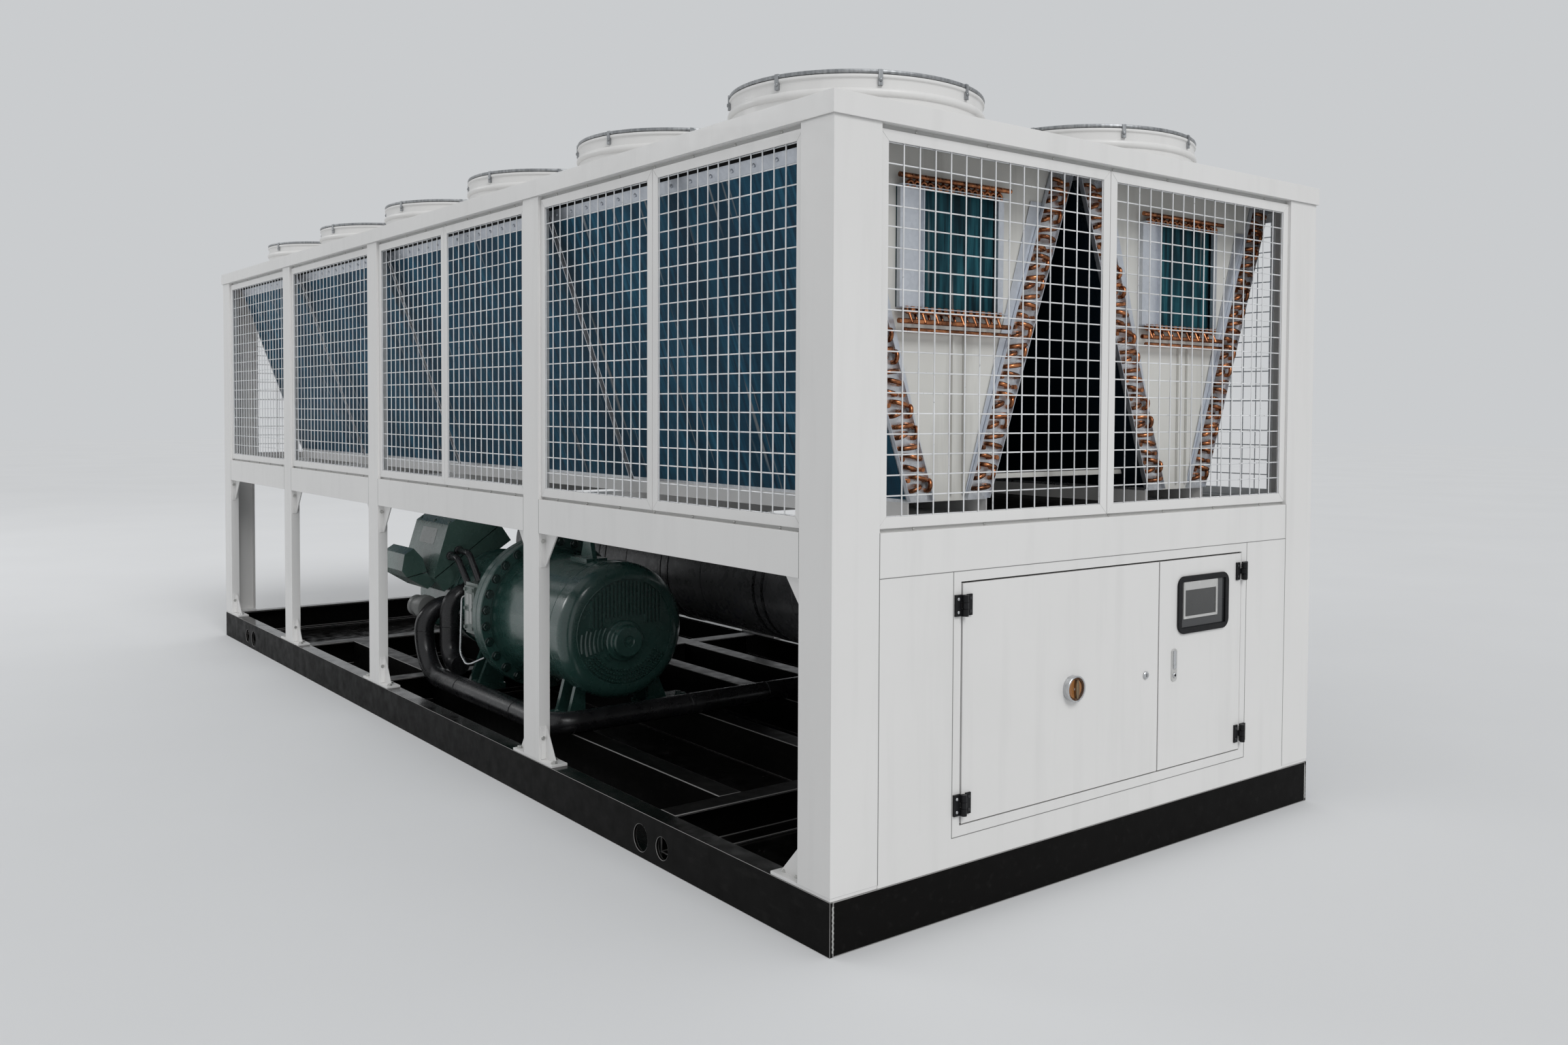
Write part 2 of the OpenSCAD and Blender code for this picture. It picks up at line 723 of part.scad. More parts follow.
// Round body along X: from x0 to x1, radius r, on the compressor axis
module on_axis(x0, x1, r) {
    translate([x0, comp_y, comp_z]) rotate([0, 90, 0]) cylinder(r = r, h = x1 - x0);
}

// Feet of the compressor on the front and back machinery rail, front one reaching out by reach
module comp_feet(x0, x1, z1, reach) {
    box(x0, x1, rail_y[0] - reach, rail_y[0] + 110, rail_h, z1);
    box(x0, x1, rail_y[1] - 70, rail_y[1] + 45, rail_h, rail_h + 30);
    box(x0, x1, rail_y[1] - 190, rail_y[1] - 60, rail_h, z1);
}

// Motor housing with its stepped end cover and bearing boss
module compressor_motor() {
    color("#28413a") {
        on_axis(comp_flange + 45, comp_x - 60, comp_r - 12);
        on_axis(comp_flange, comp_flange + 46, flange_r);
        on_axis(comp_x - 61, comp_x - 10, comp_r);
        on_axis(comp_x - 11, comp_x, comp_r - 25);
        translate([comp_x - 1, comp_y - 8, comp_z - 36]) rotate([0, 90, 0]) cylinder(r = 66, h = 46);
        comp_feet(comp_x - 260, comp_x - 90, comp_z - 190, 0);
    }
}

// Rotor casing behind the flange, with its outlet end
module compressor_casing() {
    color("#28413a") {
        on_axis(comp_flange - 45, comp_flange, flange_r);
        on_axis(comp_flange - 980, comp_flange - 44, casing_r);
        on_axis(comp_flange - 1040, comp_flange - 979, casing_r - 50);
        comp_feet(comp_flange - 340, comp_flange - 180, comp_z - 130, 45);
    }
}

// Terminal box on the front shoulder: base, chamfered lid and a small side box
module compressor_terminal_box() {
    x1 = comp_flange - 570;
    color("#2c463f") translate([0, comp_y, comp_z]) rotate([tbox_lean, 0, 0]) difference() {
        union() {
            along_x(x1 - 410, x1) polygon([[-198, 190], [216, 190], [216, 290], [185, 400],
                [150, 447], [-90, 447], [-138, 404], [-198, 274]]);
            along_x(x1 - 330, x1 - 60) polygon([[-190, 225], [-190, 290], [-162, 360], [-180, 440],
                [-235, 440], [-290, 380], [-290, 340], [-235, 225]]);
        }
        translate([x1 - 500, 0, 0]) rotate([0, 90, 0]) cylinder(r = casing_r, h = 600, $fn = 240);
    }
}

// Round bar along X from x0 to x1
module rod_x(x0, x1, y, z, r) {
    translate([x0, y, z]) rotate([0, 90, 0]) cylinder(r = r, h = x1 - x0);
}

// Round bar along Y from y0 to y1
module rod_y(y0, y1, x, z, r) {
    translate([x, y1, z]) rotate([90, 0, 0]) cylinder(r = r, h = y1 - y0);
}

// Quarter bend of an insulated pipe, sweeping from +X to +Y round the origin
module bend(b) {
    rotate_extrude(angle = 90) translate([b, 0]) circle(r = pipe_r);
}

// Smooth cylinder of the casing, for pipes to end on
module casing_cut() {
    on_axis(comp_flange - 1200, comp_flange, casing_r, $fn = 240);
}

// Insulated suction pipe from the top of the casing over to the evaporator shell
module suction_pipe() {
    b = 110;
    x = comp_flange - 250;
    z = evap_z + evap_r * 0.72;
    color("#17181a") difference() {
        union() {
            translate([x, comp_y, comp_z]) cylinder(r = pipe_r, h = z - b - comp_z);
            translate([x, comp_y + b, z - b]) rotate([90, 0, 90]) rotate([0, 0, 90]) bend(b);
            rod_y(comp_y + b, evap_y, x, z, pipe_r);
        }
        casing_cut();
        rod_x(x - 200, x + 200, evap_y, evap_z, evap_r, $fn = 240);
    }
}

// Insulated liquid pipe: out of the casing, down, low along the front and across to the shell
module liquid_pipe() {
    b = 110;
    low_b = 200;
    x0 = comp_flange - 570;
    x1 = comp_x + 75;
    y = comp_y - 370;
    z = rail_h + pipe_r;
    top = comp_z - 18;
    color("#17181a") difference() {
        union() {
            rod_y(y + b, comp_y, x0, top, pipe_r);
            translate([x0, y + b, top - b]) rotate([90, 0, 90]) rotate([0, 0, 90]) bend(b);
            translate([x0, y, z + low_b]) cylinder(r = pipe_r, h = top - z - b - low_b);
            translate([x0 + low_b, y, z + low_b]) rotate([90, 0, 0]) rotate([0, 0, 180]) bend(low_b);
            rod_x(x0 + low_b, x1 - b, y, z, pipe_r);
            translate([x1 - b, y + b, z]) rotate([0, 0, -90]) bend(b);
            rod_y(y + b, evap_y - b, x1, z, pipe_r);
            translate([x1, evap_y - b, z + b]) rotate([90, 0, 90]) rotate([0, 0, -90]) bend(b);
            translate([x1, evap_y, z + b]) cylinder(r = pipe_r, h = evap_z - z - b);
        }
        casing_cut();
        rod_x(x1 - 200, x1 + 200, evap_y, evap_z, evap_r, $fn = 240);
    }
}

// Shorter insulated pipe beside it, from the casing down to the casing foot
module economiser_pipe() {
    b = 100;
    x0 = comp_flange - 470;
    y = comp_y - 285;
    z = rail_h + 100;
    top = comp_z + 53;
    color("#17181a") difference() {
        union() {
            rod_y(y + b, comp_y, x0, top, pipe_r);
            translate([x0, y + b, top - b]) rotate([90, 0, 90]) rotate([0, 0, 90]) bend(b);
            translate([x0, y, z + b]) cylinder(r = pipe_r, h = top - z - 2 * b);
            translate([x0 + b, y, z + b]) rotate([90, 0, 0]) rotate([0, 0, 180]) bend(b);
            rod_x(x0 + b, comp_flange - 340, y, z, pipe_r);
        }
        casing_cut();
    }
}

// Insulated evaporator shell with end heads
module evaporator_shell() {
    color("#1b1c1f") translate([0, evap_y, evap_z]) rotate([0, 90, 0]) {
        translate([0, 0, evap_x0 + evap_head]) cylinder(r = evap_r, h = evap_x1 - evap_x0 - 2 * evap_head);
        for (x = [evap_x0, evap_x1 - evap_head]) translate([0, 0, x])
            cylinder(r = evap_r - 40, h = evap_head);
    }
}

// Saddles that carry the evaporator on the machinery rails
module evaporator_saddles() {
    color("#16171a") for (x = saddle_x) difference() {
        box(x - 40, x + 40, evap_y - 230, evap_y + 230, rail_h, evap_z - 130);
        rod_x(x - 50, x + 50, evap_y, evap_z, evap_r);
    }
}

base_rail_front();
base_rail_back();
base_rail_control_end();
base_rail_far_end();
base_cross_members();
base_pan();
corner_posts();
side_posts_front();
side_posts_back();
side_beams_front();
side_beams_back();
end_beams();
coil_support_beams();
drain_troughs();
roof_deck();
roof_fascia();
fan_cowls_front();
fan_cowls_back();
fan_guards_front();
fan_guards_back();
fan_motors();
fan_rotors();
coil_slabs_front();
coil_slabs_back();
coil_casings_front();
coil_casings_back();
v_end_plates();
end_coils();
inner_sheets();
mesh_panels_front();
mesh_panels_back();
mesh_panels_control_end();
mesh_panels_far_end();
end_panel();
door_surround();
control_cabinet();
left_door();
right_door();
door_hinges();
main_switch_plate();
main_switch_knob();
hmi_frame();
hmi_screen();
compressor_motor();
compressor_casing();
compressor_terminal_box();
machinery_rails();
suction_pipe();
liquid_pipe();
economiser_pipe();
evaporator_shell();
evaporator_saddles();
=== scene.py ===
import math

import bmesh
import bpy
from mathutils import Matrix, Vector


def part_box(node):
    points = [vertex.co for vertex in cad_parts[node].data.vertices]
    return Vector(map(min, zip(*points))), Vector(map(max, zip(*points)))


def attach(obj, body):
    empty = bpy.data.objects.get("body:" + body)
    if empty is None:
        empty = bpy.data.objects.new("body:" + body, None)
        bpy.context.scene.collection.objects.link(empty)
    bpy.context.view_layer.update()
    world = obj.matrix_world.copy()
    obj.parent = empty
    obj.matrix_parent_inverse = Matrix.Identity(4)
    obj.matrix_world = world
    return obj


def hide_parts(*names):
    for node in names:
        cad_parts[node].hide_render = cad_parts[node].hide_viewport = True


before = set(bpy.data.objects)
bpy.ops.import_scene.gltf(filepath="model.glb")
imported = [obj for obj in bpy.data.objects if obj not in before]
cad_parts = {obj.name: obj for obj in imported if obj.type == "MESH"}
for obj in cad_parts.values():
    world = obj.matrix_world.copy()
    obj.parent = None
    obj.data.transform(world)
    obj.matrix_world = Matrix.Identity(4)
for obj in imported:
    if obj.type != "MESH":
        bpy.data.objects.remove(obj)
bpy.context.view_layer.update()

UP = Vector((0, 0, 1))
ALONG = (1, 0, 0)
SIDES = ((-1, "front"), (1, "back"))
# Degrees by which faces turn at an edge that is rounded or drawn sharp
SHARP = 35.0

# Base and frame, in metres
RAIL_LO, RAIL_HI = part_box("base_rail_front")
HX = RAIL_HI.x
HY = -RAIL_LO.y
RAIL_H = RAIL_HI.z
FOOT_Z = RAIL_H + 0.010
BEAM_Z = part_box("end_beams")[0].z
BEAM_TOP = BEAM_Z + 0.125
FASCIA_LO, FASCIA_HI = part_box("roof_fascia")
FASCIA_Z = FASCIA_LO.z
CAP_Z = FASCIA_HI.z
POST_X = (HX - 1.820, HX - 3.535, HX - 4.925)
POST_HALF = 0.065
CORNER_IN = HX - 0.147
END_HALF = HY - 0.165
POST_SIDES = [(c + d * POST_HALF, d) for c in POST_X for d in (-1, 1)]
POST_SIDES += [(CORNER_IN, -1), (-CORNER_IN, 1)]

# Mesh panels and coils
MESH_LO, MESH_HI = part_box("mesh_panels_front")
END_MESH_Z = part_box("mesh_panels_control_end")[0].z
MESH_BACK = 0.030
MESH_BAR = 0.032
MESH_DEEP = 0.020
MESH_LEAF = 0.004
MESH_PITCH = 0.058
MESH_GAP = 0.001
WIRE_R = 0.0021
WIRE_TAIL = 0.012
SLAB_LO, SLAB_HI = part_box("coil_casings_front")
COIL_X = SLAB_HI.x
COIL_Z0 = SLAB_LO.z
COIL_Z1 = SLAB_HI.z
COIL_GAP = 0.030
V_Y = 0.552
V_TOP = 0.485
V_BOT = 0.115
SLAB_T = 0.098
TUBE_R = 0.0072
TUBE_ROWS = 32
END_COIL_LO, END_COIL_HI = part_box("end_coils")
END_COIL_HALF = 0.215
CHANNEL_WIDE = 0.086

# Fans
COWL_LO, COWL_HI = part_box("fan_cowls_front")
COWL_R = 0.410
COWL_H = COWL_HI.z - CAP_Z
FAN_X = tuple(COWL_HI.x - 0.460 - k * 1.045 for k in range(6))
FAN_Y = -0.5 * (COWL_LO.y + COWL_HI.y)

# Doors and their fittings
DOOR_X = HX + 0.002
HMI_LO, HMI_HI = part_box("hmi_frame")
KNOB_LO, KNOB_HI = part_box("main_switch_knob")
SWITCH_Y = 0.5 * (KNOB_LO.y + KNOB_HI.y)
SWITCH_Z = 0.5 * (KNOB_LO.z + KNOB_HI.z)
LOCK_Y = 0.170
LOCK_Z = 0.598
LATCH_Y = 0.320

# Compressor, pipes and evaporator
COMP_X = 1.000
COMP_Y = -0.560
COMP_Z = 0.525
FLANGE_X = 0.270
FLANGE_R = 0.350
BOLT_RING_R = 0.326
FACE_R = 0.230
FACE_FILLET = 0.060
RIB_REACH = 0.217
BOSS_Y = COMP_Y - 0.008
BOSS_Z = COMP_Z - 0.036
CASING_R = 0.235
PIPE_R = 0.045
EVAP_LO, EVAP_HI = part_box("evaporator_shell")
EVAP_Y = 0.5 * (EVAP_LO.y + EVAP_HI.y)
EVAP_Z = 0.5 * (EVAP_LO.z + EVAP_HI.z)
EVAP_R = 0.5 * (EVAP_HI.z - EVAP_LO.z)
EVAP_X0 = -1.760
EVAP_X1 = 2.060


def bays(half, end):
    """Spans between the posts along the unit, each short of a post's centre by half."""
    a, b, c = POST_X
    return ((a + half, end), (b + half, a - half), (c + half, b - half), (-end, c - half))


BAYS = bays(POST_HALF, CORNER_IN)
COIL_BAYS = bays(0.5 * COIL_GAP, COIL_X)


def feed(tree, socket, value):
    """Links a socket to the value, or sets it: a colour gets its alpha."""
    if isinstance(value, bpy.types.NodeSocket):
        tree.links.new(value, socket)
    elif socket.type == "RGBA":
        socket.default_value = (*value, 1.0)
    else:
        socket.default_value = value


def scaled(color, factor):
    return tuple(factor * c for c in color)


class Paint:
    """A material under construction: one principled shader with procedural detail."""

    def __init__(self, name, color, rough, metal=0.0, coat=0.0, specular=0.5):
        self.mat = bpy.data.materials.new(name)
        self.mat.use_nodes = True
        self.tree = self.mat.node_tree
        self.shader = self.tree.nodes["Principled BSDF"]
        self.set("Base Color", color)
        self.set("Roughness", rough)
        self.set("Metallic", metal)
        self.set("Coat Weight", coat)
        self.set("Specular IOR Level", specular)
        self.place = self.node("ShaderNodeTexCoord").outputs["Object"]
        self.normal = None

    def set(self, name, value):
        feed(self.tree, self.shader.inputs[name], value)

    def node(self, kind, **inputs):
        node = self.tree.nodes.new(kind)
        for name, value in inputs.items():
            feed(self.tree, node.inputs[name], value)
        return node

    def noise(self, scale, detail, stretch=None):
        place = self.place
        if stretch:
            place = self.node("ShaderNodeMapping", Vector=place, Scale=stretch).outputs["Vector"]
        node = self.node("ShaderNodeTexNoise", Vector=place, Scale=scale, Detail=detail, Roughness=0.55)
        return node.outputs["Fac"]

    def lines(self, scale, direction):
        node = self.node("ShaderNodeTexWave", Vector=self.place, Scale=scale)
        node.bands_direction = direction
        return node.outputs["Fac"]

    def along(self, axis):
        return self.node("ShaderNodeSeparateXYZ", Vector=self.place).outputs[axis]

    def math(self, kind, a, b=0.0):
        node = self.node("ShaderNodeMath")
        node.operation = kind
        feed(self.tree, node.inputs[0], a)
        feed(self.tree, node.inputs[1], b)
        return node.outputs["Value"]

    def ramp(self, fac, stops):
        node = self.node("ShaderNodeValToRGB", Fac=fac)
        while len(node.color_ramp.elements) < len(stops):
            node.color_ramp.elements.new(0.5)
        for element, (at, value) in zip(node.color_ramp.elements, stops):
            element.position = at
            color = value if isinstance(value, tuple) else (value, value, value)
            element.color = (*color, 1.0)
        return node.outputs["Color"]

    def patches(self, scale, detail, low, high, stretch=None):
        """Noise spread between two stops of (level, value)."""
        return self.ramp(self.noise(scale, detail, stretch), [low, high])

    def gloss(self, scale, detail, low, high, until=0.7):
        """Patches of lower and higher roughness."""
        self.set("Roughness", self.patches(scale, detail, (0.3, low), (until, high)))

    def mixed(self, fac, a, b):
        node = self.node("ShaderNodeMix")
        node.data_type = "RGBA"
        for k, value in ((0, fac), (6, a), (7, b)):
            feed(self.tree, node.inputs[k], value)
        return node.outputs[2]

    def bump(self, height, strength, distance):
        node = self.node("ShaderNodeBump", Height=height, Strength=strength, Distance=distance)
        if self.normal:
            feed(self.tree, node.inputs["Normal"], self.normal)
        self.normal = node.outputs["Normal"]
        self.set("Normal", self.normal)


def powder_coat(name, light, dark, soiled=0.22):
    """Off-white powder coat: faint orange peel, slow tone changes and upright streaks of grime."""
    p = Paint(name, light, 0.42, coat=0.06)
    tone = p.mixed(p.patches(0.9, 4.0, (0.35, 0.0), (0.70, 1.0)), light, dark)
    streaks = p.patches(5.0, 5.0, (0.52, 0.0), (0.78, 1.0), (3.0, 3.0, 0.25))
    p.set("Base Color", p.mixed(p.math("MULTIPLY", streaks, soiled), tone, scaled(dark, 0.80)))
    p.gloss(14.0, 4.0, 0.36, 0.50)
    p.bump(p.noise(420.0, 2.0), 0.05, 0.001)
    p.bump(p.noise(2.2, 2.0), 0.05, 0.02)
    return p.mat


def satin_black(name, dust, rough, specular):
    """Black paint with brush waves, scuffs and pale dust."""
    black = (0.0042, 0.0040, 0.0038)
    p = Paint(name, black, rough, specular=specular)
    scuff = p.patches(38.0, 6.0, (0.56, 0.0), (0.80, 0.35), (0.3, 1.0, 1.0))
    worn = p.mixed(scuff, black, (0.024, 0.023, 0.022))
    cover = p.patches(9.0, 6.0, (0.42, 0.0), (0.75, dust))
    p.set("Base Color", p.mixed(cover, worn, (0.20, 0.195, 0.185)))
    p.gloss(18.0, 5.0, rough - 0.05, rough + 0.15, 0.75)
    p.bump(p.noise(160.0, 3.0), 0.10, 0.001)
    p.bump(p.noise(7.0, 2.0), 0.10, 0.006)
    return p.mat


def zinc_sheet(name, light, dark, rough):
    """Galvanised sheet: spangle cells, fine scratches and dull patches."""
    p = Paint(name, light, rough, metal=0.75)
    cells = p.node("ShaderNodeTexVoronoi", Vector=p.place, Scale=85.0).outputs["Color"]
    spangle = p.node("ShaderNodeSeparateColor", Color=cells).outputs["Red"]
    tone = p.mixed(p.ramp(spangle, [(0.1, 0.55), (0.9, 1.0)]), dark, light)
    p.set("Base Color", p.mixed(p.patches(6.0, 5.0, (0.45, 0.0), (0.75, 0.35)), tone, dark))
    p.gloss(30.0, 4.0, rough - 0.08, rough + 0.12)
    p.bump(p.noise(300.0, 2.0, (1.0, 0.2, 0.2)), 0.06, 0.001)
    return p.mat


def coated_wire(name):
    """Mesh wire under pale zinc: brighter and duller lengths, a few dark specks."""
    p = Paint(name, (0.80, 0.81, 0.82), 0.34, metal=0.15)
    lengths = p.patches(3.5, 4.0, (0.35, (0.70, 0.71, 0.72)), (0.68, (0.92, 0.93, 0.94)))
    specks = p.patches(120.0, 2.0, (0.66, 0.0), (0.74, 0.6))
    p.set("Base Color", p.mixed(specks, lengths, (0.30, 0.30, 0.30)))
    p.gloss(18.0, 3.0, 0.28, 0.46)
    p.bump(p.noise(240.0, 2.0), 0.10, 0.001)
    return p.mat


def copper_tube(name):
    """Copper with bright bends, brown oxide in patches and brazing marks."""
    p = Paint(name, (0.46, 0.18, 0.08), 0.26, metal=1.0)
    oxide = p.patches(34.0, 5.0, (0.36, 0.0), (0.66, 1.0))
    tone = p.mixed(oxide, (0.62, 0.25, 0.11), (0.17, 0.066, 0.034))
    soot = p.patches(11.0, 4.0, (0.46, 0.0), (0.72, 0.85))
    p.set("Base Color", p.mixed(soot, tone, (0.060, 0.028, 0.018)))
    p.gloss(55.0, 3.0, 0.16, 0.40, 0.75)
    p.bump(p.noise(420.0, 2.0), 0.08, 0.0006)
    return p.mat


def coil_fins(name, axis, bright, mid, deep):
    """Blue coated fin packs: fin edges as fine upright lines with painted shade in the gaps, tube rows,
    pale upright streaks of painted highlight, and painted shade on the inner slabs.
    """
    p = Paint(name, mid, 0.46, specular=0.12)

    def drawn(length):
        return (1.0, length, length) if axis == "X" else (length, 1.0, length)

    edges = p.lines(95.0, axis)
    streak = p.noise(60.0, 4.0, drawn(0.06))
    tone = p.ramp(streak, [(0.36, deep), (0.52, mid), (0.68, bright)])
    toned = p.mixed(p.patches(7.0, 4.0, (0.38, 0.0), (0.64, 0.85), drawn(0.22)), tone, deep)
    # Darker lines in the gaps between the fins: painted shade.
    gap_shaded_tone = p.mixed(p.ramp(edges, [(0.15, 0.55), (0.6, 0.0)]), toned, scaled(deep, 0.35))
    blotched = p.mixed(p.patches(4.5, 3.0, (0.5, 0.0), (0.8, 0.5)), gap_shaded_tone, deep)
    # Pale upright streaks on the fins: painted highlight.
    painted_highlight_streaks = p.patches(30.0, 4.0, (0.62, 0.0), (0.69, 0.50), drawn(0.035))
    shown = p.mixed(painted_highlight_streaks, blotched, (0.46, 0.45, 0.43))
    # The inner slabs of the Vs are darkened nearly to black: painted shade.
    if axis == "X":
        inner_slab_shade = p.ramp(p.math("ABSOLUTE", p.along("Y")), [(0.50, 0.0), (0.60, 1.0)])
        shown = p.mixed(inner_slab_shade, scaled(deep, 0.18), shown)
    p.set("Base Color", shown)
    p.set("Roughness", p.ramp(streak, [(0.3, 0.36), (0.7, 0.58)]))
    p.bump(edges, 0.35, 0.003)
    p.bump(p.lines(12.5, "Z"), 0.10, 0.004)
    return p.mat


def machine_green(name, light, dark):
    """Machine paint over a casting: gloss coat, cast grain, oil shadows."""
    p = Paint(name, light, 0.30, coat=0.60)
    p.set("Coat Roughness", 0.12)
    tone = p.mixed(p.patches(3.2, 5.0, (0.35, 0.0), (0.72, 1.0)), light, dark)
    rub = p.patches(60.0, 5.0, (0.62, 0.0), (0.80, 0.35))
    p.set("Base Color", p.mixed(rub, tone, scaled(light, 1.8)))
    p.gloss(18.0, 4.0, 0.20, 0.36, 0.75)
    p.bump(p.noise(190.0, 3.0), 0.05, 0.001)
    p.bump(p.noise(9.0, 2.0), 0.03, 0.005)
    return p.mat


def foam_rubber(name, dark, pale):
    """Closed cell insulation: soft waves, pores and a dull bloom."""
    p = Paint(name, dark, 0.38)
    p.set("Base Color", p.mixed(p.patches(6.0, 5.0, (0.42, 0.0), (0.78, 0.7)), dark, pale))
    p.gloss(25.0, 4.0, 0.20, 0.40, 0.75)
    p.bump(p.noise(330.0, 3.0), 0.12, 0.001)
    p.bump(p.noise(8.0, 2.0), 0.25, 0.008)
    return p.mat


def bare_metal(name, light, dark, rough):
    """Plain metal with drawn grain and darker handled spots."""
    p = Paint(name, light, rough, metal=0.9)
    grain = p.noise(90.0, 3.0, (1.0, 1.0, 0.15))
    p.set("Base Color", p.mixed(p.ramp(grain, [(0.35, 0.0), (0.70, 1.0)]), light, dark))
    p.gloss(40.0, 4.0, rough - 0.07, rough + 0.12)
    p.bump(grain, 0.06, 0.0008)
    return p.mat


def moulded(name, color, rough, grain, specular=0.5):
    """Moulded plastic or die casting with a fine texture and slight rubbing."""
    p = Paint(name, color, rough, specular=specular)
    lighter = tuple(min(1.0, 1.5 * c + 0.012) for c in color)
    p.set("Base Color", p.mixed(p.patches(26.0, 5.0, (0.55, 0.0), (0.82, 0.5)), color, lighter))
    p.gloss(60.0, 3.0, rough - 0.06, rough + 0.1)
    p.bump(p.noise(grain, 2.0), 0.12, 0.0006)
    return p.mat


def display_glass(name, top, bottom):
    """Glossy cover glass over a dark display, a little lighter towards its top."""
    p = Paint(name, bottom, 0.12, coat=0.5)
    level = p.math("DIVIDE", p.math("SUBTRACT", p.along("Z"), HMI_LO.z), HMI_HI.z - HMI_LO.z)
    haze = p.math("SUBTRACT", p.math("MULTIPLY", p.noise(30.0, 4.0), 0.35), 0.17)
    p.set("Base Color", p.ramp(p.math("ADD", level, haze), [(0.0, bottom), (1.0, top)]))
    p.set("Roughness", p.patches(12.0, 4.0, (0.35, 0.08), (0.75, 0.22)))
    p.bump(p.noise(3.0, 1.0), 0.02, 0.004)
    return p.mat


WHITE = powder_coat("white_powder_coat", (0.78, 0.775, 0.765), (0.735, 0.73, 0.72))
CREAM = powder_coat("coil_plate_coat", (0.73, 0.725, 0.69), (0.58, 0.57, 0.535), 0.75)
SEAM = powder_coat("seam_grey", (0.26, 0.26, 0.255), (0.20, 0.20, 0.195))
# Mid grey for the strips behind the mesh frames: painted shade of the recess.
RECESS_SHADE_GREY = powder_coat("recess_painted_shade_grey", (0.56, 0.56, 0.55), (0.48, 0.48, 0.47))
BLACK = satin_black("base_satin_black", 0.0, 0.40, 0.05)
RAIL_TOP = satin_black("rail_gloss_black", 0.06, 0.14, 0.50)
BLACK_TOP = satin_black("base_gloss_black", 0.03, 0.34, 0.14)
PAN = satin_black("pan_gloss_black", 0.05, 0.15, 0.55)
# Lighter grey for the rounded edges of the black base channels: painted edge highlight.
EDGE_HIGHLIGHT_GREY = moulded("painted_edge_highlight_grey", (0.26, 0.255, 0.25), 0.30, 300.0)
ZINC = zinc_sheet("galvanised_sheet", (0.74, 0.76, 0.79), (0.52, 0.54, 0.57), 0.30)
BOLT_ZINC = zinc_sheet("zinc_fasteners", (0.60, 0.60, 0.58), (0.36, 0.36, 0.35), 0.34)
TRIM = zinc_sheet("trim_sheet", (0.66, 0.69, 0.74), (0.56, 0.59, 0.64), 0.40)
WIRE = coated_wire("mesh_wire")
STEEL = bare_metal("guard_steel", (0.40, 0.41, 0.42), (0.22, 0.23, 0.24), 0.34)
PLATE_STEEL = bare_metal("switch_plate_steel", (0.66, 0.67, 0.68), (0.46, 0.47, 0.48), 0.26)
BRONZE = bare_metal("switch_grip_bronze", (0.30, 0.22, 0.13), (0.12, 0.10, 0.08), 0.30)
COPPER = copper_tube("copper")
FINS = coil_fins("blue_fins", "X", (0.040, 0.185, 0.300), (0.018, 0.110, 0.190), (0.008, 0.044, 0.082))
END_FINS = coil_fins("teal_fins", "Y", (0.034, 0.175, 0.215), (0.012, 0.078, 0.105), (0.003, 0.018, 0.027))
GREEN = machine_green("compressor_green", (0.030, 0.082, 0.070), (0.020, 0.056, 0.048))
# Flange bolts: a darker copy of the compressor green, as painted shade round the bolts.
BOLT_GREEN_PAINTED_SHADE = machine_green("flange_bolt_green_painted_shade", (0.009, 0.027, 0.023), (0.006, 0.018, 0.015))
# Terminal box green: painted lighter than the compressor green, as painted light on the box.
BOX_GREEN_PAINTED_LIGHT = machine_green("terminal_box_green_painted_light", (0.075, 0.135, 0.115), (0.052, 0.098, 0.084))
BLOCK = machine_green("valve_block_grey", (0.150, 0.185, 0.170), (0.100, 0.130, 0.120))
FOAM = foam_rubber("black_insulation", (0.008, 0.008, 0.009), (0.032, 0.0315, 0.034))
# The evaporator's foam is a lighter grey copy of the black insulation: painted light for the dim space
# under the coils.
SHELL_FOAM_PAINTED_LIGHT = foam_rubber("shell_insulation_painted_light", (0.085, 0.085, 0.090), (0.160, 0.158, 0.165))
STRAP = moulded("strap_black", (0.020, 0.020, 0.022), 0.26, 300.0)
MOTOR = moulded("motor_black", (0.026, 0.026, 0.029), 0.46, 260.0)
ROTOR = moulded("rotor_grey", (0.050, 0.053, 0.058), 0.44, 320.0)
HINGE = moulded("hinge_black", (0.007, 0.007, 0.008), 0.42, 420.0, 0.25)
PANEL_BLACK = moulded("panel_black", (0.006, 0.006, 0.007), 0.40, 500.0, 0.22)
AMBER = moulded("switch_amber", (0.31, 0.135, 0.042), 0.26, 500.0)
BEZEL = moulded("display_bezel", (0.50, 0.50, 0.49), 0.32, 500.0)
VALVE = moulded("valve_grey", (0.20, 0.205, 0.20), 0.42, 200.0)
TAG = moulded("bare_plate", (0.40, 0.42, 0.41), 0.30, 400.0)
GLASS = display_glass("window_glass", (0.05, 0.052, 0.055), (0.020, 0.021, 0.023))
LCD = display_glass("display_glass", (0.050, 0.051, 0.050), (0.022, 0.023, 0.023))


def turned(angle, radius=1.0):
    """The two parts of a radius at an angle."""
    return radius * math.cos(angle), radius * math.sin(angle)


def arc(u, v, radius, first, last, steps):
    """Points on an arc about (u, v), from the first to the last angle in degrees."""
    points = []
    for k in range(steps + 1):
        du, dv = turned(math.radians(first + (last - first) * k / steps), radius)
        points.append((u + du, v + dv))
    return points


def axis_frame(at, axis):
    """Matrix at a point whose Z runs along the axis."""
    turn = Vector(axis).to_track_quat("Z", "Y").to_matrix().to_4x4()
    return Matrix.Translation(Vector(at)) @ turn


def plane_frame(at, u, v):
    """Matrix at a point whose X and Y run along u and v."""
    u = Vector(u)
    v = Vector(v)
    return Matrix.Translation(Vector(at)) @ Matrix((u, v, u.cross(v))).transposed().to_4x4()


def across_at(x, y=0.0, z=0.0):
    """Matrix at a point for outlines of (y, z) pairs across the unit."""
    return plane_frame((x, y, z), (0, 1, 0), UP)


